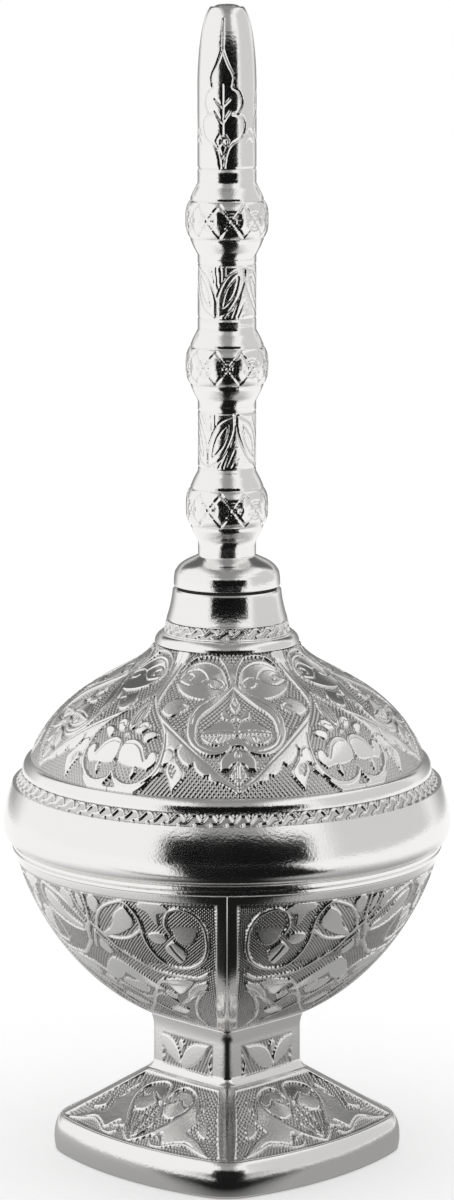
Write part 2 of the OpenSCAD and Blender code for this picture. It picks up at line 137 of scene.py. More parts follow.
def card(name, centre, size, turn, tone, soft, near=1.0):
    """A card of one tone whose edges fade out over a share of its width and height,
    soft. Near is how wide its upper end is, as a share of its lower end."""
    bpy.ops.mesh.primitive_grid_add(x_subdivisions=2, y_subdivisions=24, size=1,
                                    location=centre, rotation=turn)
    sheet = bpy.context.object
    sheet.name = name
    for vertex in sheet.data.vertices:
        narrowing = 1 - (1 - near) * (vertex.co.y + 0.5)
        vertex.co = (vertex.co.x * narrowing * size[0], vertex.co.y * size[1], 0)
    sheet_finish, tree = new_material(name + "_paper")
    place = add_node(tree, "ShaderNodeTexCoord")
    sides = add_node(tree, "ShaderNodeSeparateXYZ", [("Vector", place.outputs["UV"])])
    fades = []
    for side, fade in zip(("X", "Y"), soft):
        off = add_node(tree, "ShaderNodeMath", [(0, sides.outputs[side]), (1, 0.5)],
                       operation="SUBTRACT")
        out = add_node(tree, "ShaderNodeMath", [(0, off.outputs[0])], operation="ABSOLUTE")
        fades.append(add_node(tree, "ShaderNodeMapRange", [
            ("Value", out.outputs[0]), ("From Min", 0.5 - fade), ("From Max", 0.5),
            ("To Min", 1.0), ("To Max", 0.0)], interpolation_type="SMOOTHSTEP"))
    cover = add_node(tree, "ShaderNodeMath", [(0, fades[0].outputs[0]),
                                              (1, fades[1].outputs[0])], operation="MULTIPLY")
    tone_glow = add_node(tree, "ShaderNodeEmission", [
        ("Color", linear(tone)), ("Strength", 1.0)])
    clear = add_node(tree, "ShaderNodeBsdfTransparent")
    both = add_node(tree, "ShaderNodeMixShader", [
        (0, cover.outputs[0]), (1, clear.outputs[0]), (2, tone_glow.outputs[0])])
    add_node(tree, "ShaderNodeOutputMaterial", [("Surface", both.outputs[0])])
    sheet.data.materials.append(sheet_finish)
    for ray in ("camera", "diffuse", "shadow", "transmission", "volume_scatter"):
        setattr(sheet, "visible_" + ray, False)
    return sheet


upright = (math.pi / 2, 0, 0)
flat = (0, 0, 0)
cards = [
    card("dark_card", (0.13, -0.94, 0.205), (1.58, 0.57), upright, "#141414", (0.06, 0.03)),
    card("dark_floor_card", (0.04, -0.505, 0.0004), (1.14, 0.87), flat, "#181818",
         (0.08, 0.05), near=0.11),
    # Painted shade: these cards by the foot stand for the floor's shadow round it.
    card("foot_shadow_card", (0.003, -0.078, 0.0006), (0.13, 0.1), flat, "#1C1C1C", (0.4, 0.1)),
    card("low_front_shadow_card", (0.003, -0.09, 0.012), (0.3, 0.024), upright, "#1C1C1C",
         (0.45, 0.35)),
    card("floor_shade_card", (0.03, 0, 0.0002), (0.38, 0.36), flat, "#A6A6A6", (0.42, 0.42)),
    card("low_back_card", (0, 0.45, 0.12), (1.3, 0.3), upright, "#8C8C8C", (0.4, 0.25)),
    card("front_top_card", (0.03, -0.96, 0.95), (1.0, 1.15), upright, "#A2A2A2", (0.3, 0.06)),
    card("top_card", (0, -0.1, 1.2), (1.5, 2.6), flat, "#949494", (0.35, 0.2)),
    card("back_card", (0, 0.7, 0.75), (1.9, 1.0), upright, "#666666", (0.27, 0.25)),
    card("right_card", (1.3, 0, 0.6), (2.4, 1.8), (math.pi / 2, 0, math.pi / 2), "#DADADA",
         (0.2, 0.2)),
]


# ---- Base pad ----
# A felt pad glued into the recess under the foot. Cut from sheet, it is matt, with short
# grey fibres, and only its edge shows as a dark line.
def felt():
    """Pressed wool felt: fully matt, with fibres about 0.2 mm thick."""
    material, tree = new_material("grey_wool_felt")
    place = add_node(tree, "ShaderNodeTexCoord")
    fibre = add_node(tree, "ShaderNodeTexNoise", [
        ("Vector", place.outputs["Object"]), ("Scale", 1 / (0.4 * MM)), ("Detail", 4.0)])
    tone = add_node(tree, "ShaderNodeMix", [
        ("Factor", fibre.outputs["Fac"]), ("A", linear("#3A3A3C")), ("B", linear("#5A5A5C"))],
        data_type="RGBA")
    nap = add_node(tree, "ShaderNodeBump", [
        ("Height", fibre.outputs["Fac"]), ("Strength", 0.6), ("Distance", 0.1 * MM)])
    surface = add_node(tree, "ShaderNodeBsdfPrincipled", [
        ("Base Color", tone.outputs["Result"]), ("Roughness", 0.95),
        ("Sheen Weight", 0.3), ("Normal", nap.outputs[0])])
    add_node(tree, "ShaderNodeOutputMaterial", [("Surface", surface.outputs[0])])
    return material


def dress(node_name, material):
    """Give a CAD node its finish."""
    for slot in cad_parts[node_name].material_slots:
        slot.material = material


dress("base_pad", felt())


# ---- Lower casting: foot ----
# Zinc alloy, cast in one with stem and bowl, chased by hand and silver plated. The rim
# is a plain half round, and each of the four sloping sides carries a carved heart.
def silver_plate():
    """Bright silver over a cast and chased ground: mirror-like on the plain bands, a little pitted from
    the casting, and greyer where the chisel went deep, partly patina in the hollows and partly painted
    shade."""
    material, tree = new_material("silver_plate")
    place = add_node(tree, "ShaderNodeTexCoord")
    depth = add_node(tree, "ShaderNodeAttribute", attribute_name="recess")
    grain = add_node(tree, "ShaderNodeTexNoise", [
        ("Vector", place.outputs["Object"]), ("Scale", 1 / (0.55 * MM)), ("Detail", 3.0),
        ("Roughness", 0.6)])
    clouds = add_node(tree, "ShaderNodeTexNoise", [
        ("Vector", place.outputs["Object"]), ("Scale", 1 / (14 * MM)), ("Detail", 3.0)])
    # Base colour greys with depth below the surface: patina in the hollows, and painted shade.
    tone = add_node(tree, "ShaderNodeMix", [
        ("Factor", depth.outputs["Fac"]), ("A", linear("#EEEDEB")), ("B", linear("#8A8886"))],
        data_type="RGBA")
    polish = add_node(tree, "ShaderNodeMapRange", [
        ("Value", clouds.outputs["Fac"]), ("From Min", 0.3), ("From Max", 0.7),
        ("To Min", 0.09), ("To Max", 0.16)])
    matt = add_node(tree, "ShaderNodeMath", [
        (0, depth.outputs["Fac"]), (1, 0.06), (2, polish.outputs[0])],
        operation="MULTIPLY_ADD")
    waves = add_node(tree, "ShaderNodeBump", [
        ("Height", clouds.outputs["Fac"]), ("Strength", 1.0), ("Distance", 0.12 * MM)])
    skin = add_node(tree, "ShaderNodeBump", [
        ("Height", grain.outputs["Fac"]), ("Strength", 1.0), ("Distance", 0.025 * MM),
        ("Normal", waves.outputs[0])])
    surface = add_node(tree, "ShaderNodeBsdfPrincipled", [
        ("Base Color", tone.outputs["Result"]), ("Metallic", 1.0),
        ("Roughness", matt.outputs[0]), ("Normal", skin.outputs[0])])
    add_node(tree, "ShaderNodeOutputMaterial", [("Surface", surface.outputs[0])])
    return material


silver = silver_plate()
flat_swell = 0.05


def section_r(corner, swell, round_r, angle):
    """Distance from the axis to a swollen square's outline, in the direction angle
    (degrees from a corner): corner distance, swelling 0 to 1, corner radius."""
    corner, swell, round_r, angle = np.broadcast_arrays(corner, swell, round_r, angle)
    off = angle - 90 * np.round(angle / 90)
    core = corner - round_r
    half = core / math.sqrt(2)
    rise = np.maximum(swell, flat_swell) * core * (1 - 1 / math.sqrt(2))
    side = (half ** 2 + rise ** 2) / (2 * rise)
    side_x = half + rise - side
    lean = np.radians(45) - np.arcsin(np.minimum(1, half / side))
    join = np.degrees(np.arctan2(round_r * np.sin(lean), core + round_r * np.cos(lean)))
    along = np.radians(off)
    across = np.radians(45 - np.abs(off))
    at_corner = core * np.cos(along) + np.sqrt(
        np.maximum(0, round_r ** 2 - (core * np.sin(along)) ** 2))
    at_side = side_x * np.cos(across) + np.sqrt(
        np.maximum(0, (side + round_r) ** 2 - (side_x * np.sin(across)) ** 2))
    return np.where(np.abs(off) < join, at_corner, at_side)


def bezier(a, b, c, d, n):
    """n + 1 points of the curve with the ends a, d and the handles b, c."""
    t = np.linspace(0, 1, n + 1)[:, None]
    a, b, c, d = (np.array(p, dtype=float) for p in (a, b, c, d))
    return (1 - t) ** 3 * a + 3 * (1 - t) ** 2 * t * b + 3 * (1 - t) * t * t * c + t ** 3 * d


def evenly(profile, step):
    """The same profile with points about step apart along it."""
    profile = np.array(profile, dtype=float)
    run = np.concatenate([[0], np.cumsum(np.hypot(*np.diff(profile, axis=0).T))])
    at = np.linspace(0, run[-1], max(2, int(round(run[-1] / step))) + 1)
    return np.stack([np.interp(at, run, profile[:, 0]), np.interp(at, run, profile[:, 1])], 1)


def in_space(radius, angle, height):
    """Points in mm from radius, angle from the front in degrees, and height."""
    turn = np.radians(angle)
    return np.stack(np.broadcast_arrays(radius * np.sin(turn), -radius * np.cos(turn),
                                        height), -1)


def drawn(points, radius_at, closed=False, step=0.12):
    """A smooth line through given points, (degrees, mm). A point that is set twice makes a sharp
    corner."""
    points = np.array(points, dtype=float)
    count = len(points)
    line = []
    for i in range(count if closed else count - 1):
        if closed:
            p0, p1, p2, p3 = (points[(i + k) % count] for k in (-1, 0, 1, 2))
        else:
            p0, p1, p2, p3 = (points[min(max(i + k, 0), count - 1)] for k in (-1, 0, 1, 2))
        ends = in_space(radius_at(np.array([p1[1], p2[1]]), np.array([p1[0], p2[0]])),
                        np.array([p1[0], p2[0]]), np.array([p1[1], p2[1]]))
        length = np.linalg.norm(ends[1] - ends[0])
        if length == 0:
            continue
        t = np.linspace(0, 1, max(2, int(length / step)), endpoint=False)[:, None]
        line.append(0.5 * (2 * p1 + (p2 - p0) * t + (2 * p0 - 5 * p1 + 4 * p2 - p3) * t ** 2
                           + (3 * p1 - p0 - 3 * p2 + p3) * t ** 3))
    if not closed:
        line.append(points[-1:])
    return np.concatenate(line)


class Carving:
    """A carved area: a grid of angles and heights on the outside of a casting, with the
    height of the metal at each point, 0 at the outside and negative where it is cut."""

    def __init__(self, angles, heights, radius_at):
        self.radius_at = radius_at
        self.angle, self.height = np.meshgrid(angles, heights)
        self.at = in_space(radius_at(self.height, self.angle), self.angle, self.height)
        self.metal = np.zeros(self.angle.shape)
        self.row, self.column = np.indices(self.angle.shape)

    def pyramids(self, low, high):
        """Ground of small pyramids, cut by crossing strokes about 0.8 mm apart."""
        columns = self.columns_each(0.8)
        along = 4 * self.column / columns
        one = np.abs((self.row + along) % 4 - 2) / 2
        two = np.abs((self.row - along) % 4 - 2) / 2
        return low + (high - low) * np.minimum(1 - one, 1 - two)

    def strokes(self, low, high):
        """Ground of slanting strokes side by side, about 0.7 mm apart."""
        columns = self.columns_each(0.7)
        wave = np.abs((self.column + self.row * columns / 8) % columns - columns / 2)
        return low + (high - low) * wave / (columns / 2)

    def hatching(self, low, high):
        """Ground of steep slanting ridges about 0.8 mm apart, nicked across."""
        columns = self.columns_each(0.85)
        along = 6 * self.column / columns
        ridge = 1 - np.abs((self.row + along) % 6 - 3) / 3
        nick = 1 - np.abs((self.row - along) % 6 - 3) / 3
        return low + (high - low) * ridge * (0.35 + 0.65 * nick)

    def columns_each(self, pitch):
        """Even number of columns nearest to a pitch in mm, for each row."""
        wide = np.linalg.norm(self.at[:, 1] - self.at[:, 0], axis=-1, keepdims=True)
        return np.maximum(4, 2 * np.round(pitch / wide / 2))

    def distance(self, line, margin):
        """The grid points near a line, and how far they are from it."""
        q = in_space(self.radius_at(line[:, 1], line[:, 0]), line[:, 0], line[:, 1])
        near = np.all((self.at > q.min(0) - margin) & (self.at < q.max(0) + margin), axis=-1)
        p = self.at[near]
        best = np.full(len(p), np.inf)
        for k in range(0, len(q), 48):
            gap = p[:, None, :] - q[None, k:k + 48, :]
            best = np.minimum(best, np.einsum("ijk,ijk->ij", gap, gap).min(axis=1))
        return near, np.sqrt(best)

    def inside(self, line, near):
        """Which of the near points lie inside a closed line."""
        middle = line[:, 0].mean()
        a = middle + (self.angle[near] - middle + 180) % 360 - 180
        z = self.height[near]
        result = np.zeros(len(a), dtype=bool)
        for (a0, z0), (a1, z1) in zip(line, np.roll(line, -1, axis=0)):
            if z0 != z1:
                crosses = (z0 > z) != (z1 > z)
                result ^= crosses & (a < a0 + (z - z0) / (z1 - z0) * (a1 - a0))
        return result

    def area(self, points, level, edge=0.3, swell=0.0):
        """Bring the metal inside a closed line to a level, over a sloping edge."""
        line = drawn(points, self.radius_at, closed=True)
        near, gap = self.distance(line, 2 * edge)
        gap = np.where(self.inside(line, near), gap, -gap)
        share = np.clip(0.5 + gap / edge, 0, 1)
        share = share * share * (3 - 2 * share)
        goal = level[near] if isinstance(level, np.ndarray) else level
        goal = goal + swell * (1 - np.exp(-np.maximum(gap, 0) / 0.9))
        self.metal[near] += (goal - self.metal[near]) * share

    def rib(self, points, width, level, closed=False, edge=0.25):
        """A flat band of metal along a line."""
        near, gap = self.distance(drawn(points, self.radius_at, closed), width / 2 + edge)
        share = np.clip(0.5 + (width / 2 - gap) / edge, 0, 1)
        share = share * share * (3 - 2 * share)
        self.metal[near] += (level - self.metal[near]) * share

    def ridge(self, points, width, rise):
        """A rounded ridge that rises from the ground at 0."""
        near, gap = self.distance(drawn(points, self.radius_at), width / 2)
        crest = rise * np.sqrt(np.clip(1 - (gap / (width / 2)) ** 2, 0, 1))
        self.metal[near] = np.maximum(self.metal[near], crest)

    def cut(self, points, width, depth, closed=False):
        """A line cut with the graver."""
        near, gap = self.distance(drawn(points, self.radius_at, closed), width)
        self.metal[near] -= depth * np.clip(1 - (gap / (width / 2)) ** 2, 0, 1)


def casting(name, outer, inner, rows_each, columns_each, around, recess):
    """A closed solid between a fine outer grid and a coarse inner one, both rows by
    columns by 3. Each inner cell stands behind rows_each x columns_each outer ones."""
    rows, columns = outer.shape[:2]
    inner_rows, inner_columns = inner.shape[:2]
    first = rows * columns

    def front(i, j):
        return i * columns + j % columns

    def back(i, j):
        return first + i * inner_columns + j % inner_columns

    def quads(count_i, count_j, corner, turned_in):
        i, j = np.meshgrid(np.arange(count_i - 1), np.arange(count_j if around else count_j - 1),
                           indexing="ij")
        loop = [corner(i, j), corner(i, j + 1), corner(i + 1, j + 1), corner(i + 1, j)]
        return np.stack(loop[::-1] if turned_in else loop, -1).reshape(-1, 4).tolist()

    faces = quads(rows, columns, front, False)
    smooth = [True] * len(faces)
    faces += quads(inner_rows, inner_columns, back, True)
    for j in range(inner_columns if around else inner_columns - 1):
        run = [j * columns_each + k for k in range(columns_each + 1)]
        faces.append([back(0, j), back(0, j + 1)] + [front(0, k) for k in run[::-1]])
        faces.append([front(rows - 1, k) for k in run]
                     + [back(inner_rows - 1, j + 1), back(inner_rows - 1, j)])
    if not around:
        for i in range(inner_rows - 1):
            run = [i * rows_each + k for k in range(rows_each + 1)]
            faces.append([front(k, 0) for k in run] + [back(i + 1, 0), back(i, 0)])
            faces.append([back(i, inner_columns - 1), back(i + 1, inner_columns - 1)]
                         + [front(k, columns - 1) for k in run[::-1]])
    smooth += [False] * (len(faces) - len(smooth))

    mesh = bpy.data.meshes.new(name)
    points = np.concatenate([outer.reshape(-1, 3), inner.reshape(-1, 3)]) * MM
    mesh.from_pydata(points.tolist(), [], faces)
    mesh.polygons.foreach_set("use_smooth", smooth)
    # Per-point greying for the silver: patina in the hollows and painted shade.
    depth = np.zeros(len(points), dtype=np.float32)
    if recess is not None:
        depth[:first] = recess.reshape(-1)
    mesh.attributes.new("recess", "FLOAT", "POINT").data.foreach_set("value", depth)
    mesh.update()
    piece = bpy.data.objects.new(name, mesh)
    bpy.context.collection.objects.link(piece)
    mesh.materials.append(silver)
    return piece


def carved_casting(name, carving, wall, rows_each=6, columns_each=8, around=True,
                   inner=None, outside=0.0):
    """The solid of a carved area, with its wall behind it. Metal at outside keeps the bright silver;
    metal cut below it is greyed, as patina and painted shade.
    """
    at, metal = carving.at, carving.metal
    rise = np.gradient(at, axis=0)
    if around:
        wide = np.concatenate([at[:, -1:], at, at[:, :1]], axis=1)
        run = np.gradient(wide, axis=1)[:, 1:-1]
    else:
        run = np.gradient(at, axis=1)
    outwards = np.cross(run, rise)
    outwards /= np.linalg.norm(outwards, axis=-1, keepdims=True)
    outer = at + outwards * metal[..., None]
    if inner is None:
        inner = at[::rows_each, ::columns_each].copy()
        reach = np.hypot(inner[..., 0], inner[..., 1])
        inner[..., :2] *= ((reach - wall) / reach)[..., None]
    # Painted shade with patina: greyer the deeper the metal lies below outside.
    recess = np.clip((outside - metal - 0.12) / 0.7, 0, 1)
    return casting(name, outer, inner, rows_each, columns_each, around, recess)


def mirror(half):
    """The other half of a symmetric pattern, set before it."""
    return np.concatenate([half[:, :0:-1], half], axis=1)


# Sizes of the foot, as in the casting
foot_edge_z, foot_rim_z, foot_slope_z = 0.2, 6.9, 16.3
foot_corner, foot_swell, foot_round = 33.5, 0.37, 9.4
rim_middle_z = foot_edge_z + 0.34 * (foot_rim_z - foot_edge_z)
rim_deep, rim_out = 2.0, 1.5
rim_top = math.acos(1 - rim_out / rim_deep)
rim_half = (foot_rim_z - rim_middle_z) / math.sin(rim_top)
rim_low = -math.asin((rim_middle_z - foot_edge_z) / rim_half)
slope_foot, slope_top = foot_corner - rim_out, 15.3
stem_corner, stem_round = 14.1, 2.2
pad_recess_z, pad_inset = 1.2, 2.4

rim_rows, rim_columns = 20, 384
rim_angle = np.linspace(rim_low, rim_top, rim_rows + 1)
rim_height = rim_middle_z + rim_half * np.sin(rim_angle)
rim_corner = foot_corner - rim_deep * (1 - np.cos(rim_angle))
turn = np.linspace(0, 360, rim_columns, endpoint=False)
rim_r = section_r(rim_corner[:, None], foot_swell,
                  foot_round + rim_corner[:, None] - foot_corner, turn[None, :])
rim_outer = in_space(rim_r, turn[None, :], rim_height[:, None])
recess_corner = rim_corner[0] - pad_inset
recess_r = section_r(recess_corner, foot_swell, foot_round - pad_inset, turn[::4])
rim_inner = np.stack([in_space(recess_r, turn[::4], foot_edge_z),
                      in_space(recess_r, turn[::4], pad_recess_z),
                      in_space(recess_r * 0.93, turn[::4], pad_recess_z),
                      in_space(recess_r * 0.93, turn[::4], foot_rim_z)])
foot_rim = casting("foot_rim", rim_outer, rim_inner, 1, 4, True, None)


def slope_r(height, angle):
    """Radius of the sloping side at a height and in a direction."""
    t = np.clip((height - foot_rim_z) / (foot_slope_z - foot_rim_z), 0, 1)
    return section_r(slope_foot + (slope_top - slope_foot) * t,
                     foot_swell + (flat_swell - foot_swell) * t,
                     (foot_round - rim_out) * (1 - t) + stem_round * t, angle)


def strip_edge(width, corner_r):
    """Angle at which the plain strip along a corner ends, for its half width."""
    return np.degrees(np.arcsin(np.minimum(0.99, width / corner_r)))


def carve_foot(c):
    """Half of one side of the foot, from the corner (0) to the middle (45)."""
    ground = c.hatching(-0.72, -0.06)
    panel_low, panel_high = 7.15, 15.7
    strip = 1.75
    low_edge = strip_edge(strip, slope_foot)
    high_edge = strip_edge(strip, slope_top + 1)
    c.area([(low_edge, panel_low)] * 2 + [(high_edge, panel_high)] * 2
           + [(60, panel_high)] * 2 + [(60, panel_low)] * 2, ground, edge=0.35)
    # The smooth leaf that runs from the corner up to the heart
    c.area([(16.4, 12.4), (15.0, 11.4), (17.2, 10.7), (18.8, 9.8), (18.8, 9.8), (13.2, 8.9),
            (6.6, 7.2), (6.6, 7.2), (12, 7.9), (17, 8.6), (23, 8.3), (27.5, 7.9), (29.0, 8.5),
            (31, 9.2), (34.4, 8.6), (36.6, 9.1), (30, 10.7), (24.0, 12.2), (21.4, 13.3),
            (21.0, 14.2), (18.0, 13.8)], -0.03)
    c.rib([(6.8, 7.3), (12, 7.8), (17, 8.4), (23, 8.1), (27.8, 7.6), (32.2, 7.5), (34.6, 8.0),
           (33.0, 8.7), (31, 8.4)], 0.4, -0.02)
    c.rib([(6.8, 7.3), (12.6, 8.9), (18.6, 9.8), (17.0, 10.8), (14.8, 11.5), (15.6, 12.6),
           (15.2, 14.0)], 0.4, -0.02)
    c.area([(8.4, 9.9), (10.6, 9.6), (13.6, 10.3), (11.9, 11.0), (9.4, 11.5)], -0.06)
    c.area([(12.6, 12.8), (14.2, 13.2), (14.4, 14.4), (12.8, 14.2)], -0.08)
    # The heart: a double line round two lobes, hatched above and smooth below
    c.rib([(45, 7.35), (41, 7.9), (36.4, 8.8), (30.2, 10.2), (23.4, 11.9), (20.4, 13.2),
           (20.6, 14.3), (25.0, 15.0), (33, 15.3), (39.5, 15.0), (43.4, 14.2), (44.2, 13.3),
           (42.6, 12.7)], 0.55, 0.0)
    c.cut([(45, 8.1), (41.4, 8.6), (36.8, 9.5), (30.8, 10.8), (24.8, 12.3), (22.4, 13.3),
           (22.8, 14.1), (27, 14.6), (33, 14.8), (39, 14.4)], 0.3, 0.3)
    c.area([(23.7, 14.1), (28.4, 14.7), (36, 14.7), (41.0, 13.9), (40.5, 13.2), (35.7, 13.4),
            (28, 13.1), (23.4, 13.3)], c.strokes(-0.5, -0.12))
    c.area([(23.4, 13.1), (26, 12.7), (29.0, 12.9), (32, 13.4), (36.0, 13.1), (40.2, 12.6),
            (39.4, 11.8), (37.0, 11.2), (32.0, 11.0), (27.1, 11.7)], -0.03, swell=0.03)
    c.cut([(23.2, 13.3), (26, 12.9), (29, 13.1), (32, 13.6), (36, 13.3), (40.5, 12.8)], 0.34, 0.3)
    # The long leaf down the middle of the heart
    c.rib([(45, 12.8), (41.8, 11.7), (40.0, 10.2), (42.2, 8.7), (45, 7.9)], 0.45, 0.0)
    c.rib([(45, 12.4), (45, 8.4)], 0.35, -0.04)


foot_rows = 84
foot_half_columns = 128
half_face = np.linspace(0, 45, foot_half_columns + 1)
slope_heights = np.linspace(foot_rim_z, foot_slope_z, foot_rows + 1)
half = Carving(half_face, slope_heights, slope_r)
carve_foot(half)
columns = 8 * foot_half_columns
foot_carving = Carving(np.linspace(-45, 315, columns, endpoint=False), slope_heights, slope_r)
foot_carving.metal = np.tile(mirror(half.metal)[:, :-1], (1, 4))
foot_slope = carved_casting("foot_slope", foot_carving, 2.7)

# ---- Lower casting: stem ----
# The square stem joins foot and bowl. Each side has a fan of pointed leaves, cut flat,
# between hatched corners.
stem_z, stem_top_z, bowl_z = 18.0, 24.4, 27.1
cove_out, flare_out = 1.2, 0.6


def stem_r(height, angle):
    """Radius of the stem, with the hollow curve below it and the flare above it."""
    cove = np.clip((stem_z - height) / (stem_z - foot_slope_z), 0, 1)
    flare = np.clip((height - stem_top_z) / (bowl_z - stem_top_z), 0, 1)
    return section_r(stem_corner + cove_out * cove ** 2 + flare_out * flare ** 2,
                     flat_swell, stem_round, angle)


def carve_stem(c):
    """One side of the stem, from corner to corner; its neighbours are mirrored."""
    low, high, edge = 17.6, 23.7, 13.0
    c.area([(edge, low)] * 2 + [(edge, high)] * 2 + [(90 - edge, high)] * 2
           + [(90 - edge, low)] * 2, c.strokes(-0.6, -0.16), edge=0.25)
    c.rib([(edge + 2.4, low), (edge + 4.6, 19.8), (edge + 1.6, 21.6)], 0.4, -0.04)
    c.rib([(87.6 - edge, low), (85.4 - edge, 19.4), (87 - edge, 21.0)], 0.4, -0.04)
    c.area([(53.6, 17.7), (53.6, 17.7), (52.6, 19.8), (45.2, 22.0), (32.0, 23.2), (17.0, 23.4),
            (17.0, 23.4), (23.0, 21.2), (31.0, 19.5), (42.0, 18.2)], 0.0, swell=0.03)
    c.area([(54.2, 18.2), (54.2, 18.2), (61.7, 18.7), (74.0, 20.2), (83, 23.5), (83, 23.5),
            (70.0, 23.3), (59.8, 21.7), (55.3, 20.0)], 0.0, swell=0.03)
    c.area([(54.0, 23.5), (54.0, 23.5), (50.4, 22.6), (51.0, 21.5), (53.8, 20.6), (53.8, 20.6),
            (57.2, 21.8), (57.4, 22.8)], -0.02)


stem_heights = np.linspace(foot_slope_z, bowl_z, 55)
face = Carving(np.linspace(0, 90, 97), stem_heights, stem_r)
carve_stem(face)
stem_carving = Carving(np.linspace(-90, 270, 4 * 96, endpoint=False), stem_heights, stem_r)
stem_carving.metal = np.tile(mirror(face.metal)[:, :-1], (1, 2))
stem = carved_casting("stem", stem_carving, 2.7, rows_each=6)

# ---- Lower casting: bowl ----
# It swells from the square stem to the round seam. Each of the four faces is a sunk
# panel of leaf scrolls on a hatched ground, between plain strips along the corners.
bowl_foot, bowl_top_r, bead_r = 14.7, 40.6, 41.1
bead_z, seam_z = 60.0, 62.0
bowl_width, bowl_height = bowl_top_r - bowl_foot, bead_z - bowl_z
bowl_profile = evenly(bezier(
    (bowl_foot, bowl_z), (bowl_foot + 0.46 * bowl_width, bowl_z + 0.15 * bowl_height),
    (bowl_top_r - 0.113 * bowl_width, bowl_z + 0.546 * bowl_height),
    (bowl_top_r, bead_z), 240), 0.2)
bowl_profile = evenly(bowl_profile, np.hypot(*np.diff(bowl_profile, axis=0).T).sum() / 240)


def bowl_r(height, angle):
    """Radius of the bowl at a height and in a direction."""
    corner = np.interp(height, bowl_profile[:, 1], bowl_profile[:, 0])
    left = np.maximum(0, 1 - (height - bowl_z) / bowl_height)
    return section_r(corner, 1 - (1 - flat_swell) * left ** 1.32, stem_round, angle)


